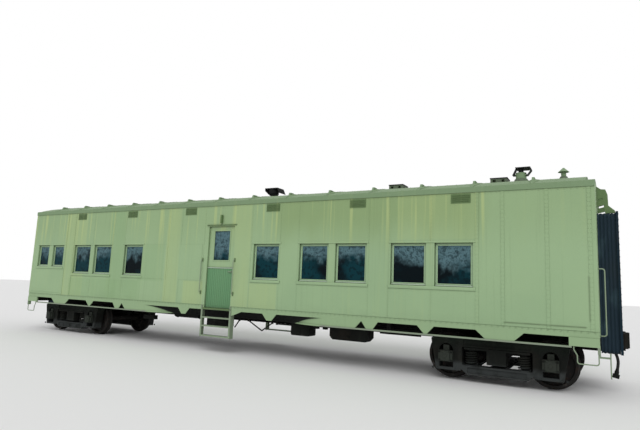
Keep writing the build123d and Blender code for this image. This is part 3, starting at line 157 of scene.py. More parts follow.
class WindowSizes(bpy.types.PropertyGroup):
    """Sizes of the side windows' joinery."""
    gap: length("Gap", "Dark joint between a sash and its opening", 0.007)
    bead_width: length("Bead width", "Width of the glazing bead", 0.013)
    bead_proud: length("Bead height", "How far the bead stands off the sash", 0.005)
    rounding: length("Rounding", "Rounding of the painted edges", 0.003)
    slope: length("Sill slope", "How far a sill's top falls to its front", 0.012)


class SeamSizes(bpy.types.PropertyGroup):
    """Sizes of the plate seams and rivets."""
    strip_width: length("Strip width", "Width of a lap between two plates", 0.016)
    strip_proud: length("Strip height", "How far a lap stands off the plate", 0.002)
    rivet_radius: length("Rivet radius", "Radius of a rivet head", 0.0085)
    rivet_proud: length("Rivet height", "Height of a rivet head", 0.0045)
    rivet_pitch: length("Rivet pitch", "Distance between rivets in a row", 0.076)
    sill_pitch: length("Sill rivet pitch", "Distance between rivets along the sill", 0.102)


class DoorSizes(bpy.types.PropertyGroup):
    """Sizes of the door boards, mouldings and handles."""
    boards: count("Boards", "Beaded boards across a lower leaf", 14)
    board_gap: length("Board gap", "Groove between two boards", 0.006)
    board_proud: length("Board height", "How far the boards stand off the leaf", 0.005)
    margin: length("Margin", "Plain border round the boards", 0.020)
    moulding_width: length("Moulding width", "Width of the moulding round a pane", 0.026)
    moulding_proud: length("Moulding height", "How far the moulding stands off the leaf", 0.008)
    ledge_height: length("Ledge height", "Height of the ledge on top of a lower leaf", 0.022)
    handle_length: length("Handle length", "Length of a door handle", 0.105)


class VentSizes(bpy.types.PropertyGroup):
    """Sizes of the louvres in the eave vents."""
    blades: count("Blades", "Blades in each vent", 6)
    blade_depth: length("Blade depth", "Width of a blade before it is turned", 0.018)
    blade_thickness: length("Blade thickness", "Sheet thickness of a blade", 0.003)


class SpringSizes(bpy.types.PropertyGroup):
    """Sizes of the coil springs in the trucks."""
    wire: length("Outer bar", "Bar diameter of the outer coil", 0.030)
    inner_wire: length("Inner bar", "Bar diameter of the inner coil", 0.022)
    seat: length("Seat", "Thickness of the spring seats", 0.014)
    turns: FloatProperty(name="Turns", description="Turns of the outer coil", default=5.5, min=1.0)


class FittingSizes(bpy.types.PropertyGroup):
    """Sizes of bolts, lids, pipes and roof caps."""
    bolt_radius: length("Bolt radius", "Radius of a hexagonal bolt head", 0.017)
    bolt_proud: length("Bolt height", "Height of a bolt head", 0.014)
    lid_half: length("Lid half width", "Half the width of a journal box lid", 0.088)
    lid_proud: length("Lid height", "How far a lid stands off its box", 0.008)
    pipe_radius: length("Pipe radius", "Radius of the pipes along the floor", 0.020)
    cap_length: length("Cap length", "Half length of a roof cap along the car", 0.080)
    cap_width: length("Cap width", "Half width of a roof cap across the car", 0.190)
    cap_height: length("Cap height", "Height of a roof cap", 0.026)
    roof_pitch: length("Roof rivet pitch", "Distance between rivets on a roof rib", 0.115)


class BellowsSizes(bpy.types.PropertyGroup):
    """Sizes of the canvas bellows between cars."""
    pleats: count("Pleats", "Folds between the end wall and the face plate", 5)
    fold: length("Fold depth", "Depth of each fold", 0.011)
    lining_fold: length("Lining fold depth", "Depth of a fold in the lining", 0.010)
    cloth: length("Cloth", "Thickness of the canvas", 0.003)
    rounding: length("Corner", "Corner radius of the outer canvas", 0.070)
    slack: length("Slack", "How far the canvas wanders from a straight fold", 0.003)


class HoseSizes(bpy.types.PropertyGroup):
    """Sizes of the brake hoses."""
    diameter: length("Diameter", "Outside diameter of a hose", 0.050)
    clamp_width: length("Clamp width", "Width of a hose clamp", 0.022)
    clamp_thickness: length("Clamp thickness", "Thickness of a hose clamp", 0.003)


class StageSettings(bpy.types.PropertyGroup):
    """Camera place and studio light."""
    eye: FloatVectorProperty(name="Eye", description="Camera place", default=(7.997, -11.069, 1.641),
                             size=3, unit="LENGTH", subtype="TRANSLATION")
    yaw: FloatProperty(name="Yaw", description="Turn of the view to the left of +Y", default=0.517993,
                       unit="ROTATION", subtype="ANGLE")
    pitch: FloatProperty(name="Pitch", description="Tilt of the view above the horizon",
                         default=0.139375, unit="ROTATION", subtype="ANGLE")
    roll: FloatProperty(name="Roll", description="Roll of the camera", default=0.0413058,
                        unit="ROTATION", subtype="ANGLE")
    focal: FloatProperty(name="Focal length", description="Focal length in pixels of a 640 wide frame",
                         default=512.341, min=1.0)
    sky: FloatProperty(name="Sky", description="Strength of the even light", default=0.66, min=0.0)
    lamp: FloatProperty(name="Lamp", description="Strength of the key lamp", default=1.25, min=0.0)
    floor: colour("Floor", "Pale studio floor", (0.80, 0.80, 0.80))


# Layered finishes
class Finish:
    """A painted or bare surface whose colour, polish and relief are built up in layers."""

    def __init__(self, name, base, roughness, metallic=0.0, gloss=0.5):
        self.material = bpy.data.materials.new(name)
        self.material.use_nodes = True
        self.nodes = self.material.node_tree.nodes
        self.links = self.material.node_tree.links
        self.shader = self.nodes["Principled BSDF"]
        self.shader.inputs["Base Color"].default_value = (*base, 1.0)
        self.shader.inputs["Roughness"].default_value = roughness
        self.shader.inputs["Metallic"].default_value = metallic
        self.shader.inputs["Specular IOR Level"].default_value = gloss
        self.tint = (*base, 1.0)
        self.polish = roughness
        self.normal = None
        self.place = self.nodes.new("ShaderNodeTexCoord").outputs["Object"]
        axes = self.nodes.new("ShaderNodeSeparateXYZ")
        self.links.new(self.place, axes.inputs[0])
        self.x, self.y, self.z = axes.outputs

    def feed(self, value, socket):
        """Link a socket, or set it to a plain value."""
        if isinstance(value, bpy.types.NodeSocket):
            self.links.new(value, socket)
        else:
            socket.default_value = value

    def cloud(self, scale, detail=3.0, shift=0.0):
        """Noise whose scale is set apart for x, y and z, in patches per metre."""
        mapping = self.nodes.new("ShaderNodeMapping")
        mapping.inputs["Scale"].default_value = scale
        mapping.inputs["Location"].default_value = (shift, shift, shift)
        self.links.new(self.place, mapping.inputs["Vector"])
        texture = self.nodes.new("ShaderNodeTexNoise")
        texture.inputs["Scale"].default_value = 1.0
        texture.inputs["Detail"].default_value = detail
        self.links.new(mapping.outputs["Vector"], texture.inputs["Vector"])
        return texture.outputs["Fac"]

    def span(self, value, low, high, start=0.0, end=1.0):
        """Where a value lies between two others, eased, and set between start and end."""
        node = self.nodes.new("ShaderNodeMapRange")
        node.interpolation_type = "SMOOTHSTEP"
        self.feed(value, node.inputs["Value"])
        node.inputs["From Min"].default_value = low
        node.inputs["From Max"].default_value = high
        node.inputs["To Min"].default_value = start
        node.inputs["To Max"].default_value = end
        return node.outputs["Result"]

    def sum(self, first, second, operation="ADD"):
        """Two values joined by one operation."""
        node = self.nodes.new("ShaderNodeMath")
        node.operation = operation
        self.feed(first, node.inputs[0])
        self.feed(second, node.inputs[1])
        return node.outputs[0]

    def times(self, first, second):
        """Two values multiplied."""
        return self.sum(first, second, "MULTIPLY")

    def layer(self, share, over, roughness=None):
        """Paint a colour over what is there, by a share, with a roughness of its own."""
        mix = self.nodes.new("ShaderNodeMix")
        mix.data_type = "RGBA"
        self.feed(share, mix.inputs[0])
        self.feed(self.tint, mix.inputs[6])
        mix.inputs[7].default_value = (*over, 1.0)
        self.tint = mix.outputs[2]
        self.links.new(self.tint, self.shader.inputs["Base Color"])
        if roughness is not None:
            blend = self.nodes.new("ShaderNodeMix")
            self.feed(share, blend.inputs[0])
            self.feed(self.polish, blend.inputs[2])
            blend.inputs[3].default_value = roughness
            self.polish = blend.outputs[0]
            self.links.new(self.polish, self.shader.inputs["Roughness"])

    def relief(self, height, distance, strength=1.0):
        """Raise or dent the surface by a pattern."""
        node = self.nodes.new("ShaderNodeBump")
        node.inputs["Distance"].default_value = distance
        node.inputs["Strength"].default_value = strength
        self.links.new(height, node.inputs["Height"])
        if self.normal is not None:
            self.links.new(self.normal, node.inputs["Normal"])
        self.normal = node.outputs["Normal"]
        self.links.new(self.normal, self.shader.inputs["Normal"])

    def area(self, low, high, edge=0.02):
        """1 inside a box in x and z and 0 outside it, with a soft edge."""
        share = self.times(self.span(self.x, low[0] - edge, low[0] + edge),
                           self.span(self.x, high[0] + edge, high[0] - edge))
        share = self.times(share, self.span(self.z, low[1] - edge, low[1] + edge))
        return self.times(share, self.span(self.z, high[1] + edge, high[1] - edge))

    def normal_part(self, axis):
        """The part of the surface's direction that lies along x, y or z."""
        normal = self.nodes.new("ShaderNodeNewGeometry")
        parts = self.nodes.new("ShaderNodeSeparateXYZ")
        self.links.new(normal.outputs["Normal"], parts.inputs[0])
        return parts.outputs[axis]

    def upward(self):
        """How far the surface faces up, from 0 to 1."""
        return self.span(self.normal_part(2), 0.15, 0.9)

    def corners(self, reach):
        """How closed in the surface is by what stands near it, from 0 to 1."""
        node = self.nodes.new("ShaderNodeAmbientOcclusion")
        node.samples = 4
        node.inputs["Distance"].default_value = reach
        return self.span(node.outputs["AO"], 0.95, 0.35)


def fade_side(finish, colours):
    """Painted shade under the eave along the side, a darker, yellower tone high in the window bays, and the
    panels that were repainted or have faded.
    """
    height = finish.sum(finish.z, finish.times(finish.cloud((2.0, 2.0, 0.6), 3.0), 0.5))
    from_middle = finish.sum(finish.sum(finish.x, bays_middle, "SUBTRACT"), 0.0, "ABSOLUTE")
    bays = finish.span(from_middle, *bays_fade, 0.35, 0.90)
    # Painted shade under the eave: a share of 0.35 along the whole side, rising to 0.90 in the window bays,
    # where it is also a darker, yellower tone
    finish.layer(finish.times(finish.span(height, 2.50, 3.50), bays), colours.side_eave_shade_and_tone)
    for left, right, bottom, top, share, tone in faded_panels:
        broken = finish.span(finish.cloud((3.5, 3.5, 0.35), 3.0, left), 0.25, 0.60, 0.45 * share, share)
        spot = finish.area((left, bottom), (right, top))
        finish.layer(finish.times(spot, broken), getattr(colours, tone))


def weathered_paint(name, base, colours, streaks=0.5, grime_and_shade=0.6, roughness=0.55, panels=False,
                    black=None):
    """House paint on steel plate: patches, streaks from the eave, grime low down, and painted shade in
    corners.
    """
    finish = Finish(name, base, roughness, gloss=0.35)
    patches = finish.span(finish.cloud((0.45, 0.45, 0.5), 4.0), 0.42, 0.66)
    finish.layer(finish.times(patches, 0.4 * streaks), colours.side_grey, roughness + 0.1)
    if panels:
        fade_side(finish, colours)
    runs = finish.span(finish.cloud((9.0, 9.0, 0.20), 2.0, 3.0), 0.54, 0.68)
    below_eave = finish.span(finish.z, wall_top - 1.30, wall_top - 0.20, 0.12, 1.0)
    below_eave = finish.times(below_eave, finish.span(finish.x, plain_plates[1], plain_plates[0], 0.12, 1.0))
    finish.layer(finish.times(finish.times(runs, below_eave), streaks), colours.side_pale, roughness - 0.1)
    thin_runs = finish.span(finish.cloud((24.0, 24.0, 0.5), 2.0, 11.0), 0.55, 0.80)
    finish.layer(finish.times(thin_runs, 0.16 * grime_and_shade), colours.side_grime_and_shade)
    height = finish.sum(finish.z, finish.times(finish.cloud((3.0, 3.0, 1.2), 4.0), 0.4))
    splash = finish.span(height, wall_bottom + 0.42, wall_bottom + 0.10)
    finish.layer(finish.times(splash, 0.15 * grime_and_shade), colours.side_grime_and_shade, roughness + 0.2)
    # Painted shade: darker where the surface is closed in by what stands near it
    finish.layer(finish.times(finish.corners(0.05), grime_and_shade), colours.side_grime_and_shade)
    specks = finish.span(finish.cloud((16.0, 16.0, 9.0), 5.0, 5.0), 0.71, 0.78)
    finish.layer(finish.times(specks, 0.5 * grime_and_shade), colours.rust, 0.85)
    if black is not None:
        finish.layer(black(finish), colours.hood, 0.7)
    finish.relief(finish.cloud((1.4, 1.4, 1.1), 2.0), 0.012, 0.35)
    finish.relief(finish.cloud((70.0, 70.0, 40.0), 3.0), 0.0012, 0.35)
    return finish


def frame_paint(colours):
    """Side paint on the sill and tabs, with painted shade in black where the plate turns in under it and on
    inner faces.
    """
    finish = weathered_paint("frame_paint", colours.side, colours, 0.25, 0.7)
    # Painted shade, in underframe black: where the plate turns in under the sill, and on faces that look
    # inward
    inset = finish.sum(sill_face, finish.sum(finish.y, 0.0, "ABSOLUTE"), "SUBTRACT")
    depth = finish.sum(sill_bottom, finish.z, "SUBTRACT")
    under = finish.span(finish.sum(finish.times(inset, 0.75), depth, "SUBTRACT"), -0.010, 0.020)
    shade = finish.times(under, finish.span(inset, 0.012, 0.030))
    inner = finish.span(finish.times(finish.y, finish.normal_part(1)), -0.2, -1.0)
    finish.layer(finish.sum(shade, inner, "MAXIMUM"), colours.iron, 0.9)
    chord = finish.times(finish.span(finish.z, chord_top + 0.004, chord_top - 0.002),
                         finish.span(inset, 0.010, 0.0))
    finish.layer(finish.times(chord, 0.9), colours.edge, 0.7)


def stack_black(finish):
    """Where the chimney is black: over its shoulder, and on the flaps beside it."""
    high = finish.span(finish.z, chimney_shoulder - 0.003, chimney_shoulder + 0.003)
    beside = finish.sum(finish.sum(finish.x, chimney_place, "SUBTRACT"), 0.0, "ABSOLUTE")
    flaps = finish.span(beside, 0.102, 0.104)
    chimney = finish.span(finish.x, chimney_place + 0.40, chimney_place + 0.38)
    return finish.times(finish.sum(high, flaps, "MAXIMUM"), chimney)


def vent_black(finish):
    """Where a ridge vent is black: its lid."""
    return finish.span(finish.z, vent_lid - 0.003, vent_lid + 0.001)


def dusty_iron(name, base, colours, dust=0.5, rust=0.2, roughness=0.75, grain=0.0015, gloss=0.12):
    """Black paint over castings and rolled steel, with dust on what faces up and rust in patches."""
    finish = Finish(name, base, roughness, 0.0, gloss)
    worn = finish.span(finish.cloud((2.6, 2.6, 2.6), 5.0), 0.48, 0.72)
    finish.layer(finish.times(worn, rust), colours.rust, 0.9)
    grey = finish.span(finish.cloud((7.0, 7.0, 3.0), 5.0, 2.0), 0.48, 0.72)
    finish.layer(finish.times(grey, 0.45 * dust), colours.dust, 0.9)
    settled = finish.times(finish.upward(), finish.span(finish.cloud((5.0, 5.0, 5.0), 4.0, 9.0), 0.30, 0.60))
    finish.layer(finish.times(settled, dust), colours.dust, 0.95)
    finish.relief(finish.cloud((55.0, 55.0, 55.0), 4.0), grain, 0.6)
    return finish


def truck_iron(colours):
    """Black truck castings, lighter and blue-grey on the low bow between the wheels as a painted highlight."""
    finish = dusty_iron("truck_iron", colours.iron, colours, 0.5, 0.05, 0.8, 0.003)
    broken = finish.span(finish.cloud((4.0, 4.0, 6.0), 5.0, 7.0), 0.25, 0.60, 0.35, 1.0)
    # Painted highlight: lighter, blue-grey on the low bow of each truck side
    finish.layer(finish.times(finish.span(finish.z, 0.40, 0.30, 0.0, 0.85), broken), colours.bow, 0.85)
    finish.layer(finish.times(finish.span(finish.z, 0.58, 0.80, 0.0, 0.30), broken), colours.moss, 0.85)


def worn_steel(name, colours):
    """Rusted wheel steel with polished patches."""
    finish = Finish(name, colours.wheel, 0.75, 0.0, 0.25)
    bright = finish.span(finish.cloud((6.0, 6.0, 6.0), 4.0), 0.56, 0.72)
    finish.layer(finish.times(bright, 0.35), colours.tread, 0.5)
    scale = finish.span(finish.cloud((18.0, 18.0, 18.0), 5.0, 4.0), 0.50, 0.70)
    finish.layer(finish.times(scale, 0.35), colours.rust, 0.9)
    finish.relief(finish.cloud((60.0, 60.0, 60.0), 4.0), 0.0012, 0.5)


def dark_glass(name, colours):
    """Old plate glass over an unlit inside, with a painted reflection of sky and boughs at the top, and dusty
    at the foot.
    """
    finish = Finish(name, colours.glass, 0.06, 0.0, 0.04)
    middle = finish.span(finish.cloud((1.1, 1.1, 1.4), 3.0, 2.0), 0.36, 0.56)
    finish.layer(finish.times(middle, 0.85), colours.teal)
    # Painted reflection: bluish sky over the upper part of each pane
    skyline = finish.sum(finish.z, finish.times(finish.cloud((5.5, 5.5, 4.0), 8.0), 0.70))
    skyline = finish.sum(skyline, finish.span(finish.x, 3.2, 5.2, 0.0, 0.12))
    upper = finish.span(skyline, 2.50, 2.80)
    finish.layer(finish.times(upper, 0.95), colours.sky_reflection_and_wear)
    # Painted reflection of dark boughs, with twigs only where the painted sky is
    bough_reflection = finish.span(finish.cloud((11.0, 11.0, 11.0), 8.0, 6.0), 0.50, 0.60)
    finish.layer(finish.times(bough_reflection, 0.50), colours.glass)
    twig_reflection = finish.span(finish.cloud((42.0, 42.0, 34.0), 8.0, 1.0), 0.52, 0.60)
    finish.layer(finish.times(finish.times(twig_reflection, upper), 0.50), colours.glass)
    dust = finish.span(finish.cloud((9.0, 9.0, 9.0), 5.0, 1.0), 0.55, 0.85)
    finish.layer(finish.times(dust, 0.06), colours.dust, 0.4)
    finish.relief(finish.cloud((2.2, 2.2, 1.5), 1.0), 0.004, 0.25)


def coated_canvas(name, colours):
    """Coated canvas: a fine weave, with dust and rubbed folds."""
    finish = Finish(name, colours.canvas, 0.8, 0.0, 0.25)
    finish.shader.inputs["Sheen Weight"].default_value = 0.05
    rubbed = finish.span(finish.cloud((5.0, 9.0, 2.0), 5.0), 0.52, 0.76)
    finish.layer(finish.times(rubbed, 0.16), colours.sky_reflection_and_wear, 0.85)
    dust = finish.span(finish.cloud((2.0, 3.0, 0.8), 5.0, 3.0), 0.50, 0.75)
    finish.layer(finish.times(dust, 0.18), colours.dust, 0.95)
    weave = finish.nodes.new("ShaderNodeTexChecker")
    weave.inputs["Scale"].default_value = 420.0
    finish.links.new(finish.place, weave.inputs["Vector"])
    finish.relief(weave.outputs["Fac"], 0.0006, 0.5)
    finish.relief(finish.cloud((9.0, 14.0, 5.0), 3.0), 0.006, 0.4)


def hose_rubber(name, colours):
    """Wrapped rubber hose with a bloom of dust."""
    finish = Finish(name, colours.rubber, 0.6, 0.0, 0.3)
    bloom = finish.span(finish.cloud((20.0, 20.0, 20.0), 4.0), 0.45, 0.75)
    finish.layer(finish.times(bloom, 0.35), colours.dust, 0.85)
    finish.relief(finish.cloud((140.0, 140.0, 140.0), 3.0), 0.0008, 0.5)


def floor_planks(name, colours):
    """Worn boards laid along the car, with dark joints and grain, and painted shade in black underneath."""
    finish = Finish(name, colours.wood, 0.75)
    grain = finish.span(finish.cloud((1.5, 40.0, 10.0), 5.0), 0.40, 0.70)
    finish.layer(finish.times(grain, 0.5), colours.dust, 0.85)
    wave = finish.nodes.new("ShaderNodeTexWave")
    wave.bands_direction = "Y"
    wave.inputs["Scale"].default_value = 2.2
    finish.links.new(finish.place, wave.inputs["Vector"])
    joint = finish.span(wave.outputs["Fac"], 0.06, 0.0)
    finish.layer(joint, colours.iron, 0.9)
    # Painted shade: black on the underside of the boards
    finish.layer(finish.span(finish.z, sill_bottom + 0.012, sill_bottom + 0.004), colours.iron, 0.9)
    finish.relief(wave.outputs["Fac"], 0.002, 0.4)


# Shapes from bmesh operators
def block(mesh, low, high):
    """A square-cut block between its lowest and highest corner."""
    low, high = Vector(low), Vector(high)
    place = Matrix.LocRotScale((low + high) / 2, None, high - low)
    return bmesh.ops.create_cube(mesh, size=1.0, matrix=place)["verts"]


def bar(mesh, start, end, radius, end_radius=None, segments=12):
    """A round bar, or a taper, from one point to another."""
    start, end = Vector(start), Vector(end)
    along = end - start
    place = Matrix.LocRotScale((start + end) / 2, along.to_track_quat("Z", "Y"), None)
    return bmesh.ops.create_cone(mesh, cap_ends=True, segments=segments, radius1=radius,
                                 radius2=radius if end_radius is None else end_radius,
                                 depth=along.length, matrix=place)["verts"]


def rivet(mesh, seat, out, radius, proud):
    """A domed rivet head that stands off a plate along out."""
    out = Vector(out)
    bar(mesh, Vector(seat) - 0.25 * proud * out, Vector(seat) + proud * out, radius, 0.5 * radius, 8)


def hollow_frame(mesh, low, high, border):
    """A closed rectangular border in x and z, as deep as the box is in y."""
    verts = block(mesh, low, high)
    caps = [face for face in {f for v in verts for f in v.link_faces} if abs(face.normal.y) > 0.9]
    bmesh.ops.inset_individual(mesh, faces=caps, thickness=border, use_even_offset=True)
    rims = [edge for cap in caps for edge in cap.edges]
    bmesh.ops.delete(mesh, geom=caps, context="FACES_ONLY")
    bmesh.ops.bridge_loops(mesh, edges=rims)


def soften(mesh, width, segments=2):
    """Round every edge that turns by more than about 40 degrees."""
    mesh.normal_update()
    sharp = [edge for edge in mesh.edges if len(edge.link_faces) == 2 and edge.calc_face_angle() > 0.7]
    bmesh.ops.bevel(mesh, geom=sharp, offset=width, offset_type="OFFSET", affect="EDGES",
                    segments=segments, profile=0.5, material=-1, clamp_overlap=True)


def add_piece(name, mesh, finish, body, rounding=0.0):
    """Round a finished mesh's edges and make it an object that rides on a CAD body."""
    if rounding:
        soften(mesh, rounding)
    bmesh.ops.recalc_face_normals(mesh, faces=mesh.faces[:])
    data = bpy.data.meshes.new(name)
    mesh.to_mesh(data)
    mesh.free()
    data.shade_smooth()
    data.set_sharp_from_angle(angle=math.radians(38))
    data.materials.append(bpy.data.materials[finish])
    piece = bpy.data.objects.new(name, data)
    bpy.context.scene.collection.objects.link(piece)
    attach(piece, body)
    return piece


def solid_boxes(node):
    """Lowest and highest corner of each separate solid of a CAD node, in order along the car."""
    mesh = bmesh.new()
    mesh.from_mesh(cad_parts[node].data)
    bmesh.ops.remove_doubles(mesh, verts=mesh.verts[:], dist=1e-5)
    left = set(mesh.verts)
    found = []
    while left:
        group, queue = set(), [left.pop()]
        while queue:
            vert = queue.pop()
            group.add(vert)
            for edge in vert.link_edges:
                other = edge.other_vert(vert)
                if other in left:
                    left.discard(other)
                    queue.append(other)
        low = Vector([min(v.co[i] for v in group) for i in range(3)])
        high = Vector([max(v.co[i] for v in group) for i in range(3)])
        found.append((low, high))
    mesh.free()
    return sorted(found, key=lambda pair: (pair[0].y > 0, pair[0].x))


def bolt(mesh, seat, out, radius, proud):
    """A hexagonal bolt head on its washer, standing off a face along out."""
    seat, out = Vector(seat), Vector(out)
    bar(mesh, seat - 0.003 * out, seat + 0.003 * out, 1.45 * radius, segments=12)
    bar(mesh, seat, seat + proud * out, radius, 0.94 * radius, 6)


def slab(mesh, xs, ys, zs):
    """A block between the lowest and highest places along x, y and z."""
    return block(mesh, (xs[0], ys[0], zs[0]), (xs[1], ys[1], zs[1]))


def plate(face, sign, depth, proud):
    """Lowest and highest place of a plate that starts under a face and stands off it along sign."""
    return sorted((face - sign * depth, face + sign * proud))


def about(middle, half):
    """The places at a distance to both sides of a middle."""
    return middle - half, middle + half


def rod(mesh, xs, y, z, *shape):
    """A round bar, or a taper, along the car between two places."""
    bar(mesh, (xs[0], y, z), (xs[1], y, z), *shape)


def post(mesh, x, y, zs, *shape):
    """An upright round bar, or a taper, between two heights."""
    bar(mesh, (x, y, zs[0]), (x, y, zs[1]), *shape)


def outer_face(low, high):
    """The side of the car that a box stands on, and the place of its outer face."""
    side = 1 if low.y > 0 else -1
    return side, side * max(abs(low.y), abs(high.y))


def steps_between(start, end, pitch):
    """Evenly spaced places from start to end, close to a pitch."""
    gaps = max(1, round((end - start) / pitch))
    return [start + (end - start) * i / gaps for i in range(gaps + 1)]


# Nodes by finish
node_finishes = {
    "side_paint": ["side_wall_near", "side_wall_far", "end_wall_right", "end_wall_left", "wall_battens",
                   "side_door_upper_near", "side_door_upper_far", "end_door_right", "end_door_left"],
    "frame_paint": ["side_frame_near", "side_frame_far"],
    "roof_paint": ["roof"],
    # The diaphragm arms take the darker vent paint as painted shade between the cars
    "vent_paint": ["eave_vents", "door_fittings", "diaphragm_arms"],
    "roof_vent_paint": ["roof_vents"],
    "stack_paint": ["roof_stacks"],
    "door_paint": ["side_door_lower_near", "side_door_lower_far"],
    "sash_paint": ["window_frames"],
    "step_paint": ["side_steps", "stirrup_steps", "grab_irons", "uncoupling_levers"],
    "underframe_iron": ["centre_sill", "crossbearers", "equipment_boxes", "brake_gear", "underfloor_rods"],
    "truck_iron": ["truck_frame_right", "truck_frame_left", "truck_bolster_right", "truck_bolster_left",
                   "truck_brakes_right", "truck_brakes_left", "truck_springs_right",
                   "truck_springs_left"],
    "journal_iron": ["journal_boxes_right", "journal_boxes_left"],
    "cast_coupler": ["couplers", "angle_cocks", "gladhand_right", "gladhand_left"],
    "hood_paint": ["roof_hood"],
    "plate_paint": ["face_plates"],
    "canvas": ["diaphragms"],
    "wrapped_rubber": ["brake_hose_right", "brake_hose_left"],
    "rolled_steel": ["wheelset_right_outer", "wheelset_right_inner", "wheelset_left_outer",
                     "wheelset_left_inner"],
    "floor_planks": ["floor"],
    "pane_glass": ["window_glass", "side_door_glass_near", "side_door_glass_far",
                   "end_door_glass_right", "end_door_glass_left"],
}


class SLEEPER_OT_paint(bpy.types.Operator):
    """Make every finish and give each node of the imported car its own"""
    bl_idname = "sleeper.paint"
    bl_label = "Paint the car"

    def execute(self, context):
        colours = context.scene.sleeper_colours
        weathered_paint("side_paint", colours.side, colours, 0.66, panels=True)
        frame_paint(colours)
        weathered_paint("roof_paint", colours.roof, colours, 0.06, 0.8, 0.7)
        weathered_paint("vent_paint", colours.vent, colours, 0.12, 0.5)
        weathered_paint("roof_vent_paint", colours.roof_vent, colours, 0.10, 0.9, black=vent_black)
        weathered_paint("stack_paint", colours.roof, colours, 0.15, 0.6, black=stack_black)
        weathered_paint("door_paint", colours.door, colours, 0.10, 0.5, 0.5)
        weathered_paint("sash_paint", colours.sash, colours, 0.15, 0.4, 0.5)
        # Painted highlight: paler sash paint for the faces that look up
        weathered_paint("rail_highlight_paint", colours.rail, colours, 0.10, 0.3, 0.5)
        weathered_paint("step_paint", colours.steps, colours, 0.20, 0.7, 0.6)
        dusty_iron("underframe_iron", colours.iron, colours, 0.45, 0.10)
        truck_iron(colours)
        dusty_iron("journal_iron", colours.cast, colours, 0.5, 0.10, 0.7, 0.003)
        dusty_iron("cast_coupler", colours.iron, colours, 0.45, 0.12, 0.75, 0.003)
        dusty_iron("hood_paint", colours.hood, colours, 0.2, 0.1)
        dusty_iron("plate_paint", colours.canvas, colours, 0.2, 0.1, 0.6)
        worn_steel("rolled_steel", colours)
        dark_glass("pane_glass", colours)
        coated_canvas("canvas", colours)
        hose_rubber("wrapped_rubber", colours)
        floor_planks("floor_planks", colours)
        for finish, nodes in node_finishes.items():
            for node in nodes:
                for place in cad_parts[node].material_slots:
                    place.material = bpy.data.materials[finish]
        return {"FINISHED"}


# Hose route at the right end, as in the part's source
hose_route = [
    (7.900, -0.33, 0.80), (7.965, -0.33, 0.77), (8.030, -0.33, 0.69),
    (8.062, -0.33, 0.59), (8.060, -0.33, 0.48), (8.040, -0.33, 0.39),
]
# Clamp: how far it starts from a hose's end, and half its screw lug
clamp_start, lug_half = 0.008, 0.008


class SLEEPER_OT_hoses(bpy.types.Operator):
    """Hang a brake hose with its two clamps at each end of the car"""
    bl_idname = "sleeper.hoses"
    bl_label = "Brake hoses"

    def execute(self, context):
        sizes = context.scene.sleeper_hoses
        for end, sign in ends.items():
            points = [Vector((sign * x, sign * y, z)) for x, y, z in hose_route]
            line = bpy.data.curves.new(f"hose_{end}", "CURVE")
            line.dimensions = "3D"
            line.bevel_depth = sizes.diameter / 2
            line.bevel_resolution = 6
            line.use_fill_caps = True
            spline = line.splines.new("NURBS")
            spline.points.add(len(points) - 1)
            for point, place in zip(spline.points, points):
                point.co = (*place, 1.0)
            spline.order_u = 3
            spline.use_endpoint_u = True
            spline.resolution_u = 10
            line.materials.append(bpy.data.materials["wrapped_rubber"])
            hose = bpy.data.objects.new(f"hose_{end}", line)
            context.scene.collection.objects.link(hose)
            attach(hose, "car")
            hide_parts(f"brake_hose_{end}")
            mesh = bmesh.new()
            radius = sizes.diameter / 2 + sizes.clamp_thickness
            for first, second in ((points[0], points[1]), (points[-1], points[-2])):
                along = (second - first).normalized()
                seat = first + clamp_start * along
                bar(mesh, seat, seat + sizes.clamp_width * along, radius, segments=24)
                lug = seat + 0.5 * sizes.clamp_width * along + Vector((0, radius + 0.006, 0))
                corner = Vector((lug_half, lug_half, lug_half))
                block(mesh, lug - corner, lug + corner)
            clamps = add_piece(f"hose_clamps_{end}", mesh, "cast_coupler", "car", 0.0012)
        return {"FINISHED"}


# How far out from its pane a bead starts
bead_start = 0.004
# Bottom rail of a sash: how far it stands off, and its height
rail_proud, rail_height = 0.022, 0.018
# Less than this is no distance between two faces
touch = 0.001


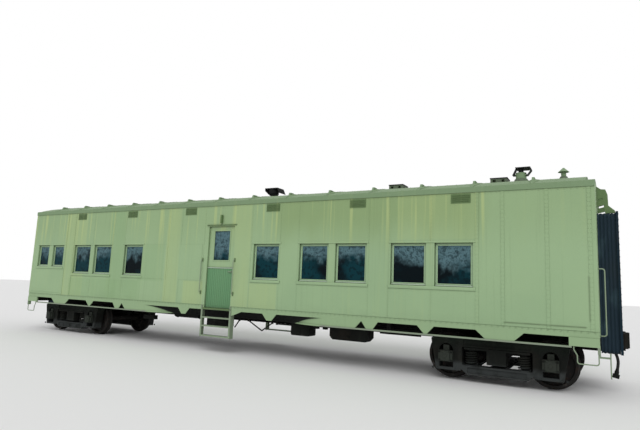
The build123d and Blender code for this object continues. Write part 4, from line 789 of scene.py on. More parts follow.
class SLEEPER_OT_windows(bpy.types.Operator):
    """Sashes with glazing beads, dark joints, and the casings and sills over and under each bay"""
    bl_idname = "sleeper.windows"
    bl_label = "Side windows"

    def execute(self, context):
        sizes = context.scene.sleeper_windows
        panes = solid_boxes("window_glass")
        strips, sashes, beads, rails, joints = (bmesh.new() for _ in range(5))
        for low, high in solid_boxes("window_frames"):
            side, face = outer_face(low, high)
            if abs(face) > wall_face + touch:
                verts = block(strips, low, high)
                front = [v for v in verts if side * v.co.y > wall_face + touch and v.co.z > high.z - touch]
                bmesh.ops.translate(strips, verts=front, vec=(0, 0, -sizes.slope))
                continue
            middle = (low + high) / 2
            pane = min(panes, key=lambda box: ((box[0] + box[1]) / 2 - middle).length)
            rail = pane[0].x - low.x
            gap = Vector((sizes.gap, 0, sizes.gap))
            hollow_frame(sashes, low + gap, high - gap, rail - sizes.gap)
            back = -side * (high.y - low.y) / 2
            joint_low, joint_high = low.copy(), high.copy()
            if side > 0:
                joint_high.y += back
            else:
                joint_low.y += back
            hollow_frame(joints, joint_low, joint_high, rail / 2)
            reach = sizes.bead_width
            ys = sorted((side * (abs(pane[0].y) + bead_start), face + side * sizes.bead_proud))
            hollow_frame(beads, (pane[0].x - reach, ys[0], pane[0].z - reach),
                         (pane[1].x + reach, ys[1], pane[1].z + reach), reach + 0.002)
            foot = low.z + sizes.gap
            slab(rails, (low.x + 2 * sizes.gap, high.x - 2 * sizes.gap),
                 plate(face, side, 0, rail_proud), (foot, foot + rail_height))
        casings = add_piece("window_casings", strips, "side_paint", "car", sizes.rounding)
        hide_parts("window_frames")
        frames = add_piece("window_sashes", sashes, "sash_paint", "car", sizes.rounding)
        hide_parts("window_frames")
        add_piece("window_beads", beads, "sash_paint", "car", 0.6 * sizes.rounding)
        # Bottom rails in the paler paint: a painted highlight on the faces that look up
        add_piece("window_rails", rails, "rail_highlight_paint", "car", 0.6 * sizes.rounding)
        add_piece("window_joints", joints, "wrapped_rubber", "car")
        return {"FINISHED"}


# Plate laps on the sides: place along the car, bottom, top
side_laps = [
    (0.685, 1.101, 3.519), (1.495, 1.101, 3.519), (1.985, 1.101, 3.519), (3.685, 1.101, 3.519),
    (4.125, 1.101, 3.519), (4.985, 2.611, 3.519), (4.985, 1.101, 1.681), (7.685, 1.290, 2.060),
    (-0.765, 1.101, 3.519), (-1.545, 1.101, 3.519), (-1.995, 1.101, 3.519), (-3.645, 1.101, 3.519),
    (-4.145, 1.101, 3.519), (-4.985, 2.611, 3.519), (-4.985, 1.101, 1.681),
]
# Level welds on the sides: start, end, height
side_welds = [(6.300, 7.630, 1.160), (-7.700, -6.300, 1.160)]
# Rows of rivets on an end: place across the car
end_rows = (-1.30, -0.95, -0.60, 0.60, 0.95, 1.30)
# Plate laps on an end: place across the car
end_laps = (-0.95, 0.95)
# How far the first and last rivet of a row stand from a plate's edge
row_margin = 0.04
# Battens narrower than this carry two rows of rivets, each this far from the middle
batten_limit, batten_row = 0.1, 0.017


class SLEEPER_OT_seams(bpy.types.Operator):
    """Laps, welds and rivet rows on the sides and ends"""
    bl_idname = "sleeper.seams"
    bl_label = "Seams and rivets"

    def execute(self, context):
        sizes = context.scene.sleeper_seams
        for side, sign in sides.items():
            mesh = bmesh.new()
            self.rivet_plates(mesh, sign, sizes)
            self.rivet_edges(mesh, sign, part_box(f"side_door_lower_{side}"), sizes)
            add_piece(f"side_rivets_{side}", mesh, "side_paint", "car")
        for end, sign in ends.items():
            mesh = bmesh.new()
            face = sign * car_end
            for y in end_rows:
                for z in steps_between(wall_bottom + 0.05, wall_top - 0.05, sizes.rivet_pitch):
                    rivet(mesh, (face, y, z), (sign, 0, 0), sizes.rivet_radius, sizes.rivet_proud)
            for y in end_laps:
                slab(mesh, plate(face, sign, 0, sizes.strip_proud), (y + 0.012, y + 0.03),
                     (wall_bottom, wall_top))
            add_piece(f"end_rivets_{end}", mesh, "side_paint", "car")
        return {"FINISHED"}

    def rivet_plates(self, mesh, sign, sizes):
        """Laps, welds and battens of one side, with a row of rivets beside each."""
        out, head = (0, sign, 0), (sizes.rivet_radius, sizes.rivet_proud)
        face = sign * wall_face
        half = sizes.strip_width / 2
        for x, bottom, top in side_laps:
            slab(mesh, about(x, half), plate(face, sign, 0, sizes.strip_proud), (bottom, top))
            for z in steps_between(bottom + row_margin, top - row_margin, sizes.rivet_pitch):
                rivet(mesh, (x + 1.6 * half, face, z), out, *head)
        for start, end, z in side_welds:
            rod(mesh, (start, end), face, z, 2 * sizes.strip_proud, None, 6)
        for low, high in solid_boxes("wall_battens"):
            if high.x - low.x >= batten_limit or sign * low.y < 0:
                continue
            middle = (low.x + high.x) / 2
            seat = outer_face(low, high)[1]
            for z in steps_between(low.z + row_margin, high.z - row_margin, sizes.rivet_pitch):
                for x in about(middle, batten_row):
                    rivet(mesh, (x, seat, z), out, *head)

    def rivet_edges(self, mesh, sign, door, sizes):
        """Rows of rivets along the sill, with a gap at the door, and along the eave."""
        out, head = (0, sign, 0), (sizes.rivet_radius, sizes.rivet_proud)
        for x in steps_between(-car_end + 0.06, car_end - 0.06, sizes.sill_pitch):
            if not door[0].x - 0.10 < x < door[1].x + 0.10:
                rivet(mesh, (x, sign * sill_face, wall_bottom - 0.022), out, *head)
            rivet(mesh, (x, sign * wall_face, wall_top - 0.030), out, *head)


# Eave vent: rim round the blades, and how far a blade is turned
vent_rim = 0.015
blade_turn = math.radians(38)


class SLEEPER_OT_louvres(bpy.types.Operator):
    """Turned blades in every eave vent"""
    bl_idname = "sleeper.louvres"
    bl_label = "Eave vents"

    def execute(self, context):
        sizes = context.scene.sleeper_vents
        mesh = bmesh.new()
        for low, high in solid_boxes("eave_vents"):
            side, face = outer_face(low, high)
            middle = (low.x + high.x) / 2
            width = high.x - low.x - 2 * vent_rim
            pitch = (high.z - low.z - 2 * vent_rim) / sizes.blades
            for blade in range(sizes.blades):
                place = Vector((middle, face - side * 0.002, low.z + vent_rim + pitch * (blade + 0.5)))
                turn = Euler((-side * blade_turn, 0, 0)).to_matrix()
                matrix = Matrix.LocRotScale(place, turn, (width, sizes.blade_depth, sizes.blade_thickness))
                bmesh.ops.create_cube(mesh, size=1.0, matrix=matrix)
        add_piece("vent_louvres", mesh, "vent_paint", "car")
        return {"FINISHED"}


# How far a moulding laps over its pane
moulding_lap = 0.006
# Neck of a door handle
neck_length, neck_radius = 0.030, 0.009
# Place of a handle on a lower leaf: from its right edge and its top
handle_inset = (0.06, 0.10)
# How far the ledge of a lower leaf stands off
ledge_proud = 0.016


def add_moulding(mesh, glass, leaf, sizes):
    """A moulding round a door pane, on the outer face of its leaf."""
    width = sizes.moulding_width
    reach = width - moulding_lap
    side, face = outer_face(*leaf)
    ys = plate(face, side, 0.012, sizes.moulding_proud)
    hollow_frame(mesh, (glass[0].x - reach, ys[0], glass[0].z - reach),
                 (glass[1].x + reach, ys[1], glass[1].z + reach), width)


def add_handle(mesh, seat, out, reach, sizes):
    """A lever handle: a rose, a short neck and the lever, on a face that looks along out."""
    seat, out, reach = Vector(seat), Vector(out), Vector(reach)
    bar(mesh, seat, seat + 0.006 * out, 0.026, segments=20)
    bar(mesh, seat, seat + neck_length * out, neck_radius, segments=12)
    neck = seat + neck_length * out
    bar(mesh, neck - 0.012 * reach, neck + sizes.handle_length * reach, neck_radius, 0.007, 12)


class SLEEPER_OT_doors(bpy.types.Operator):
    """Beaded boards, mouldings and handles on the door leaves"""
    bl_idname = "sleeper.doors"
    bl_label = "Doors"

    def execute(self, context):
        sizes = context.scene.sleeper_doors
        for side, sign in sides.items():
            low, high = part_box(f"side_door_lower_{side}")
            face = outer_face(low, high)[1]
            body = f"lower_leaf_{side}"
            left, right = low.x + sizes.margin, high.x - sizes.margin
            pitch = (right - left) / sizes.boards
            mesh = bmesh.new()
            for board in range(sizes.boards):
                start = left + pitch * board + sizes.board_gap / 2
                slab(mesh, (start, start + pitch - sizes.board_gap),
                     plate(face, sign, sunk, sizes.board_proud),
                     (low.z + sizes.margin, high.z - sizes.margin))
            add_piece(f"door_boards_{side}", mesh, "door_paint", body, 0.0022)
            mesh = bmesh.new()
            add_handle(mesh, (high.x - handle_inset[0], face, high.z - handle_inset[1]),
                       (0, sign, 0), (-1, 0, 0), sizes)
            add_piece(f"door_handle_{side}", mesh, "step_paint", body, 0.0015)
            mesh = bmesh.new()
            add_moulding(mesh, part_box(f"side_door_glass_{side}"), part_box(f"side_door_upper_{side}"), sizes)
            add_piece(f"door_moulding_{side}", mesh, "side_paint", f"upper_leaf_{side}",
                      0.003)
            mesh = bmesh.new()
            # Ledge in the paler paint: a painted highlight on top of the lower leaf
            slab(mesh, (left, right), plate(face, sign, sunk, ledge_proud),
                 (high.z - sizes.ledge_height, high.z - 0.002))
            add_piece(f"door_ledge_{side}", mesh, "rail_highlight_paint", body, 0.004)
        return {"FINISHED"}


# Steps in one turn of a coil
coil_steps = 20


class SLEEPER_OT_springs(bpy.types.Operator):
    """Two coils, one inside the other, between the seats of each truck spring"""
    bl_idname = "sleeper.springs"
    bl_label = "Truck springs"

    def execute(self, context):
        sizes = context.scene.sleeper_springs
        for end in ends:
            mesh = bmesh.new()
            for low, high in solid_boxes(f"truck_springs_{end}"):
                middle = (low + high) / 2
                outer = (high.x - low.x) / 2
                # Coils: bar diameter, middle radius, turns
                coils = [
                    (sizes.wire, outer - sizes.wire / 2, sizes.turns),
                    (sizes.inner_wire, outer - sizes.wire - sizes.inner_wire, 1.5 * sizes.turns),
                ]
                for wire, radius, turns in coils:
                    bottom = low.z + sizes.seat + wire / 2
                    rise = high.z - low.z - 2 * sizes.seat - wire
                    steps = round(coil_steps * turns)
                    turned = Matrix.Translation((middle.x + radius, middle.y, bottom))
                    turned = turned @ Matrix.Rotation(math.pi / 2, 4, "X")
                    ring = bmesh.ops.create_circle(mesh, segments=8, radius=wire / 2, matrix=turned,
                                                   cap_ends=False)["verts"]
                    rim = list({edge for vert in ring for edge in vert.link_edges})
                    made = bmesh.ops.spin(mesh, geom=ring + rim, cent=(middle.x, middle.y, 0), axis=(0, 0, 1),
                                          dvec=(0, 0, rise / steps), angle=2 * math.pi * turns,
                                          steps=steps, use_merge=False)["geom_last"]
                    last = [item for item in made if isinstance(item, bmesh.types.BMEdge)]
                    bmesh.ops.edgeloop_fill(mesh, edges=rim)
                    bmesh.ops.edgeloop_fill(mesh, edges=last)
                for zs in ((low.z, low.z + sizes.seat), (high.z - sizes.seat, high.z)):
                    post(mesh, middle.x, middle.y, zs, outer, None, 32)
            coils = add_piece(f"coil_springs_{end}", mesh, "truck_iron", f"truck_{end}")
            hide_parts(f"truck_springs_{end}")
        return {"FINISHED"}


def pleated_loop(low, high, corner, fold, pleats, slack, inward):
    """Canvas folded like a bellows between two corners of a box, run round the x axis."""
    mesh = bmesh.new()
    middle = (low + high) / 2
    half = (high - low) / 2
    place = Matrix.LocRotScale((low.x, middle.y, middle.z), Euler((0, math.pi / 2, 0)),
                               (2 * half.z, 2 * half.y, 1))
    verts = bmesh.ops.create_grid(mesh, x_segments=1, y_segments=1, size=0.5, matrix=place)["verts"]
    if corner > 0:
        bmesh.ops.bevel(mesh, geom=verts, offset=corner, offset_type="OFFSET", affect="VERTICES",
                        segments=4, profile=0.5, material=-1)
    bmesh.ops.delete(mesh, geom=mesh.faces[:], context="FACES_ONLY")
    for edge in [edge for edge in mesh.edges if edge.calc_length() > 0.15]:
        bmesh.ops.subdivide_edges(mesh, edges=[edge], cuts=round(edge.calc_length() / 0.07))
    ring = mesh.edges[:]
    steps = 8 * pleats
    rings = [list({v for e in ring for v in e.verts})]
    for _ in range(steps):
        made = bmesh.ops.extrude_edge_only(mesh, edges=ring)["geom"]
        ring = [item for item in made if isinstance(item, bmesh.types.BMEdge)]
        verts = [item for item in made if isinstance(item, bmesh.types.BMVert)]
        bmesh.ops.translate(mesh, verts=verts, vec=((high.x - low.x) / steps, 0, 0))
        rings.append(verts)
    for step, verts in enumerate(rings):
        depth = fold * 0.5 * (1 - math.cos(2 * math.pi * step / 8)) * inward
        scale = (1, (half.y - depth) / half.y, (half.z - depth) / half.z)
        centre = Matrix.Translation((0, -middle.y, -middle.z))
        bmesh.ops.scale(mesh, vec=scale, space=centre, verts=verts)
        ease = math.sin(math.pi * step / steps)
        for vert in verts:
            wander = noise.noise_vector(vert.co * 3.1) * slack * ease
            bmesh.ops.translate(mesh, verts=[vert], vec=(wander.x, 0.5 * wander.y * inward, 0.5 * wander.z))
    return mesh


# Seed of the canvas's wander: without one, Blender takes it from the clock
canvas_seed = 1795717674
# Canvas lining: inside the gangway's sides, over its foot and over its top
lining_side, lining_foot, lining_top = 0.006, 0.030, 0.060


class SLEEPER_OT_bellows(bpy.types.Operator):
    """Pleated canvas round the gangway at each end, with a pleated lining"""
    bl_idname = "sleeper.bellows"
    bl_label = "Gangway bellows"

    def execute(self, context):
        sizes = context.scene.sleeper_bellows
        noise.seed_set(canvas_seed)
        whole = solid_boxes("diaphragms")
        # Canvas: name, corner radius, fold depth, direction of the fold
        layers = [("cover", sizes.rounding, sizes.fold, 1), ("lining", 0.0, sizes.lining_fold, -1)]
        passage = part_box("end_door_right")
        for end, sign in ends.items():
            low, high = next(box for box in whole if sign * (box[0].x + box[1].x) > 0)
            for name, corner, fold, inward in layers:
                edge = sizes.cloth / 2
                first, last = Vector(low), Vector(high)
                if name == "lining":
                    first.y, last.y = passage[0].y + lining_side, passage[1].y - lining_side
                    first.z, last.z = passage[0].z + lining_foot, passage[1].z + lining_top
                    edge = -edge
                first += Vector((sizes.cloth, edge, edge))
                last -= Vector((sizes.cloth, edge, edge))
                mesh = pleated_loop(first, last, corner, fold, sizes.pleats, sizes.slack, inward)
                area = sum(face.calc_area() for face in mesh.faces)
                canvas = add_piece(f"bellows_{name}_{end}", mesh, "canvas", "car")
                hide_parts("diaphragms")
                skin = canvas.modifiers.new("Cloth", "SOLIDIFY")
                skin.thickness = sizes.cloth
                skin.offset = 0.0
        return {"FINISHED"}


# Foot of an upright grab iron: half width and height, thickness, middle's distance from the iron's end
foot_width, foot_height, foot_proud, foot_inset = 0.019, 0.045, 0.006, 0.011
# Rivets of a foot: distance from its middle, height
foot_rivet, foot_head = 0.030, 0.006
# Grab irons longer than this that stand this far off the wall are the upright ones on the sides
iron_length, iron_reach = 0.3, 0.02
# Door of a box under the floor: border at its sides, foot and top, thickness
door_side, door_foot, door_top, door_proud = 0.035, 0.030, 0.060, 0.006
# Its hinges: share of the box's width, half length of the barrel, radius, how far it stands off
barrel_shares, barrel_half, barrel_radius, barrel_proud = (0.2, 0.8), 0.045, 0.010, 0.010
# Straps of the hinges: half width, length, how far they stand off
strap_half, strap_length, strap_proud = 0.020, 0.090, 0.012
# Its latch: half width and height, height over the box's foot, how far the plate stands off
latch_half, latch_height, latch_proud = 0.030, 0.075, 0.014
# Knob of the latch: where it starts and ends off the box, radius
latch_knob, latch_knob_radius = (0.012, 0.030), 0.010


def add_feet(mesh, low, high, sizes):
    """Flanges with two rivets at both feet of an upright grab iron."""
    side = outer_face(low, high)[0]
    face = side * wall_face
    middle = (low.x + high.x) / 2
    for z in (low.z + foot_inset, high.z - foot_inset):
        slab(mesh, about(middle, foot_width), plate(face, side, 0, foot_proud), about(z, foot_height))
        for seat in about(z, foot_rivet):
            rivet(mesh, (middle, face + side * foot_proud, seat), (0, side, 0), sizes.rivet_radius, foot_head)


def add_box_door(mesh, low, high):
    """A door with two strap hinges and a latch on the outer face of a box under the floor."""
    front, top = low.y, high.z - door_top
    slab(mesh, (low.x + door_side, high.x - door_side), (front - door_proud, front), (low.z + door_foot, top))
    for share in barrel_shares:
        x = low.x + share * (high.x - low.x)
        rod(mesh, about(x, barrel_half), front - barrel_proud, top + 0.002, barrel_radius)
        slab(mesh, about(x, strap_half), (front - strap_proud, front - door_proud), (top - strap_length, top))
    middle, z = (low.x + high.x) / 2, low.z + latch_height
    slab(mesh, about(middle, latch_half), (front - latch_proud, front - door_proud), about(z, latch_half))
    bar(mesh, (middle, front - latch_knob[0], z), (middle, front - latch_knob[1], z), latch_knob_radius)


class SLEEPER_OT_small_fittings(bpy.types.Operator):
    """Feet of the grab irons and doors on the boxes under the floor"""
    bl_idname = "sleeper.small_fittings"
    bl_label = "Small fittings"

    def execute(self, context):
        sizes = context.scene.sleeper_seams
        mesh = bmesh.new()
        for low, high in solid_boxes("grab_irons"):
            if high.z - low.z > iron_length and abs(outer_face(low, high)[1]) > wall_face + iron_reach:
                add_feet(mesh, low, high, sizes)
        add_piece("grab_iron_feet", mesh, "vent_paint", "car")
        mesh = bmesh.new()
        for low, high in solid_boxes("equipment_boxes"):
            add_box_door(mesh, low, high)
        add_piece("box_doors", mesh, "underframe_iron", "car", 0.0015)
        return {"FINISHED"}


# Journal box lid: height over the box's foot, reach under and over that, depth in the box, corner radius
lid_height, lid_under, lid_over, lid_depth, lid_corner = 0.100, 0.086, 0.080, 0.020, 0.035
# Boss on a lid: height, radius at its foot and its tip
boss_proud, boss_foot, boss_tip = 0.020, 0.046, 0.030
# Hinge of a lid: half length, radius, height over the lid's middle, depth under the box's face
hinge_half, hinge_radius, hinge_height, hinge_depth = 0.075, 0.013, 0.088, 0.004
# Ears of the hinge: place along it, half width, depth under the face, reach over it, bottom and top
ear_place, ear_half, ear_depth, ear_proud, ear_bottom, ear_top = 0.050, 0.014, 0.016, 0.014, 0.060, 0.100
# Bolts round a lid: place beside its middle, heights from it, depth under the face, share of a bolt's size
lid_bolt, lid_bolt_heights, lid_bolt_depth, lid_bolt_share = 0.112, (-0.078, 0.076), 0.025, 0.8
# Pedestal beside a box: place from its middle, half the distance of its two low bolts
pedestal, pedestal_pair = 0.2135, 0.042
# How far those bolts are under the box, and how far the single one is over it
pedestal_under, pedestal_over = 0.132, 0.060
# Rivets along a truck side: reach from the middle, pitch, depth under the top, radius, height
truck_reach, truck_pitch, truck_under, truck_head = 0.42, 0.14, 0.045, (0.012, 0.007)
# Bolts along the foot of a truck side: places from the middle, height over the foot
bow_bolts, bow_height = (-0.30, 0.0, 0.30), 0.075


class SLEEPER_OT_truck_fittings(bpy.types.Operator):
    """Journal box lids with their hinges and bolts, and the bolts and rivets of the truck sides"""
    bl_idname = "sleeper.truck_fittings"
    bl_label = "Truck fittings"

    def execute(self, context):
        sizes = context.scene.sleeper_fittings
        for end in ends:
            lids, bolts = bmesh.new(), bmesh.new()
            for low, high in solid_boxes(f"journal_boxes_{end}"):
                self.add_lid(lids, low, high, sizes)
                self.bolt_box(bolts, low, high, sizes)
            self.bolt_frame(bolts, *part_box(f"truck_frame_{end}"), sizes)
            add_piece(f"journal_lids_{end}", lids, "journal_iron", f"truck_{end}", 0.003)
            add_piece(f"truck_bolts_{end}", bolts, "truck_iron", f"truck_{end}")
        return {"FINISHED"}

    def add_lid(self, mesh, low, high, sizes):
        """A round-cornered lid with a boss, hung from a hinge with two ears."""
        side, face = outer_face(low, high)
        middle, z = (low.x + high.x) / 2, low.z + lid_height
        lid = slab(mesh, about(middle, sizes.lid_half), plate(face, side, lid_depth, sizes.lid_proud),
                   (z - lid_under, z + lid_over))
        uprights = list({edge for vert in lid for edge in vert.link_edges
                         if abs(edge.verts[0].co.y - edge.verts[1].co.y) > 0.01})
        bmesh.ops.bevel(mesh, geom=uprights, offset=lid_corner, offset_type="OFFSET", affect="EDGES",
                        segments=4, profile=0.5, material=-1)
        bar(mesh, (middle, face, z), (middle, face + side * boss_proud, z), boss_foot, boss_tip, 20)
        rod(mesh, about(middle, hinge_half), face - side * hinge_depth, z + hinge_height, hinge_radius)
        for x in about(middle, ear_place):
            slab(mesh, about(x, ear_half), plate(face, side, ear_depth, ear_proud),
                 (z + ear_bottom, z + ear_top))

    def bolt_box(self, mesh, low, high, sizes):
        """Bolts round a lid and on the pedestals beside its box."""
        side, face = outer_face(low, high)
        middle, z = (low.x + high.x) / 2, low.z + lid_height
        out, head = (0, side, 0), (sizes.bolt_radius, sizes.bolt_proud)
        for x in about(middle, lid_bolt):
            for height in lid_bolt_heights:
                bolt(mesh, (x, face - side * lid_bolt_depth, z + height), out,
                     lid_bolt_share * sizes.bolt_radius, sizes.bolt_proud)
        for x in about(middle, pedestal):
            for place in about(x, pedestal_pair):
                bolt(mesh, (place, side * truck_face, low.z - pedestal_under), out, *head)
            bolt(mesh, (x, side * truck_face, high.z + pedestal_over), out, *head)

    def bolt_frame(self, mesh, low, high, sizes):
        """Rivets along the top and bolts along the foot of both truck sides."""
        middle = (low.x + high.x) / 2
        for side in (-1, 1):
            face, out = side * truck_face, (0, side, 0)
            for x in steps_between(-truck_reach, truck_reach, truck_pitch):
                rivet(mesh, (middle + x, face, high.z - truck_under), out, *truck_head)
            for x in bow_bolts:
                bolt(mesh, (middle + x, face, low.z + bow_height), out, sizes.bolt_radius, sizes.bolt_proud)


def roof_height(y):
    """Height of the roof's outer face at a distance from the middle."""
    return ridge - roof_radius + math.sqrt(roof_radius ** 2 - y ** 2)


def roof_place(x, y, lift, scale):
    """Where a part of a given scale lies level with the roof, lifted off it."""
    turn = Euler((-math.asin(y / roof_radius), 0, 0))
    return Matrix.LocRotScale(Vector((x, y, roof_height(y) + lift)), turn, scale)


# Roof rib: bare at the eave, height over the roof
rib_bare, rib_proud = 0.12, 0.008
# Seam along the roof: width, height, how far it and its rivets stop short of a roof end, rivet pitch
seam_width, seam_proud, seam_short, seam_rivets_short, seam_pitch = 0.045, 0.008, 0.15, 0.35, 0.20
# Rivets on the roof: radius on a rib, a seam and a vent; height of all
rib_head, seam_head, vent_head, roof_head_proud = 0.011, 0.010, 0.012, 0.006
# Throat of the roof hood: foot's place from the hood's and from the ridge, sides
throat_back, throat_height, throat_sides = 0.045, 0.075, 32
# Rings of the throat: place from its foot, radius
throat_rings = [((0, 0, 0), 0.080), ((0, 0, 0.055), 0.128), ((-0.015, 0, 0.185), 0.138)]
# Bolts of the hood: places along and across the car, bottom and top over the ridge, radius
hood_bolts, hood_bolt_side, hood_bolt_zs, hood_bolt_radius = (-0.17, 0.10), 0.145, (0.262, 0.277), 0.012
# Vent lid: its rivets' distance from the edge, depth and height of its knob, radius at foot and tip
vent_inset, knob_depth, knob_height, knob_foot, knob_tip = 0.035, 0.004, 0.012, 0.055, 0.020
# Stacks wider than this are the chimney; radius of its flashing and of the others'
stack_limit, chimney_radius, stack_radius = 0.25, 0.118, 0.062
# Flashing: how far its foot spreads, depth in the roof, height over it
flashing_spread, flashing_depth, flashing_height = 0.035, 0.030, 0.050


class SLEEPER_OT_roof_fittings(bpy.types.Operator):
    """Rivets and seams on the roof, caps over its ribs, and the throat, bolts and flashings of the vents"""
    bl_idname = "sleeper.roof_fittings"
    bl_label = "Roof fittings"

    def execute(self, context):
        sizes = context.scene.sleeper_fittings
        rivets, caps = bmesh.new(), bmesh.new()
        for middle in rib_places:
            self.rivet_rib(rivets, middle, sizes)
            for y in (-cap_place, cap_place):
                scale = (sizes.cap_length, sizes.cap_width, sizes.cap_height + rib_proud)
                bmesh.ops.create_uvsphere(caps, u_segments=24, v_segments=12, radius=1.0,
                                          matrix=roof_place(middle, y, -0.002, scale))
        for y in (-seam_place, seam_place):
            scale = (2 * (car_end - seam_short), seam_width, seam_proud)
            bmesh.ops.create_cube(rivets, size=1.0, matrix=roof_place(0, y, 0, scale))
            reach = car_end - seam_rivets_short
            for x in steps_between(-reach, reach, seam_pitch):
                seat = (x, y, roof_height(y) + seam_proud / 2)
                rivet(rivets, seat, (0, 0, 1), seam_head, roof_head_proud)
        add_piece("roof_rivets", rivets, "roof_paint", "car")
        add_piece("roof_caps", caps, "roof_paint", "car")
        self.add_throat()
        self.add_flashings()
        return {"FINISHED"}

    def rivet_rib(self, mesh, middle, sizes):
        """A row of rivets from eave to eave on one rib."""
        reach = roof_half_width - rib_bare
        for y in steps_between(-reach, reach, sizes.roof_pitch):
            lean = y / roof_radius
            out = Vector((0, lean, math.sqrt(1 - lean ** 2)))
            seat = Vector((middle, y, roof_height(y))) + rib_proud * out
            rivet(mesh, seat, out, rib_head, roof_head_proud)

    def add_throat(self):
        """The flared throat under the roof hood, and the hood's bolts."""
        mesh = bmesh.new()
        throat = Vector((hood_place - throat_back, 0, ridge + throat_height))
        for (start, radius), (end, end_radius) in zip(throat_rings, throat_rings[1:]):
            bar(mesh, throat + Vector(start), throat + Vector(end), radius, end_radius, throat_sides)
        zs = (ridge + hood_bolt_zs[0], ridge + hood_bolt_zs[1])
        for y in (-hood_bolt_side, hood_bolt_side):
            for x in hood_bolts:
                post(mesh, hood_place + x, y, zs, hood_bolt_radius)
        add_piece("hood_throat", mesh, "hood_paint", "car", 0.004)

    def add_flashings(self):
        """Rivets and knobs on the ridge vents, and flashings round the stacks' feet."""
        mesh = bmesh.new()
        for low, high in solid_boxes("roof_vents"):
            for x in (low.x + vent_inset, high.x - vent_inset):
                for y in (low.y + vent_inset, high.y - vent_inset):
                    rivet(mesh, (x, y, high.z), (0, 0, 1), vent_head, roof_head_proud)
            middle = (low + high) / 2
            zs = (high.z - knob_depth, high.z + knob_height)
            post(mesh, middle.x, middle.y, zs, knob_foot, knob_tip, 24)
        for low, high in solid_boxes("roof_stacks"):
            middle = (low + high) / 2
            x, radius = middle.x, stack_radius
            if high.x - low.x > stack_limit:
                x, radius = chimney_place, chimney_radius
            base = roof_height(middle.y)
            post(mesh, x, middle.y, (base - flashing_depth, base + flashing_height),
                 radius + flashing_spread, radius, 32)
        add_piece("roof_flashings", mesh, "roof_vent_paint", "car", 0.003)


# Pins of a coupler: back from its tip, across, its head's foot (0) or top (1), start and end from that,
# radius at start and end, sides
coupler_pins = [
    (0.085, 0.105, 1, -0.010, 0.016, 0.030, 0.024, 20),
    (0.085, 0.105, 0, -0.030, 0.004, 0.018, 0.018, 16),
    (0.165, -0.020, 1, -0.010, 0.040, 0.022, 0.016, 16),
]
# Lever on the lift pin: back from the tip, across, over the head's top; half its sizes
lever_place, lever_half = (0.165, -0.020, 0.020), Vector((0.045, 0.010, 0.008))
# Striking plate round the shank: the start and end across the car, bottom and top of its four bars
striker_bars = [
    (-0.170, 0.170, 0.995, 1.040), (-0.170, 0.170, 0.735, 0.815),
    (-0.170, -0.085, 0.735, 1.040), (0.085, 0.170, 0.735, 1.040),
]
striker_proud = 0.032
# Its bolts: place across the car, heights
striker_bolt, striker_bolt_heights = 0.135, (0.765, 0.860, 1.000)
# Upright rows of rivets on a face plate: places in from its sides, start from its foot and top
plate_columns, plate_column_end = (0.030, 0.125), 0.04
# Level rows on a face plate: places under its top, start from its sides
plate_rows, plate_row_end = (0.030, 0.110), 0.14
plate_pitch, plate_head = 0.110, (0.010, 0.005)
# How far an end leaf's face stands over its glass
leaf_over_glass = 0.0175
# Kick plate of an end leaf: half width, bottom and top over the leaf's foot, thickness
kick_half, kick_bottom, kick_top, kick_proud = 0.30, 0.020, 0.290, 0.003
# Panel moulding of an end leaf: half width, bottom and top over the leaf's foot, border, thickness
panel_half, panel_bottom, panel_top, panel_border, panel_proud = 0.235, 0.38, 0.88, 0.018, 0.007
# Handle of an end leaf: across from its middle, over its foot
end_handle = (0.315, 0.98)


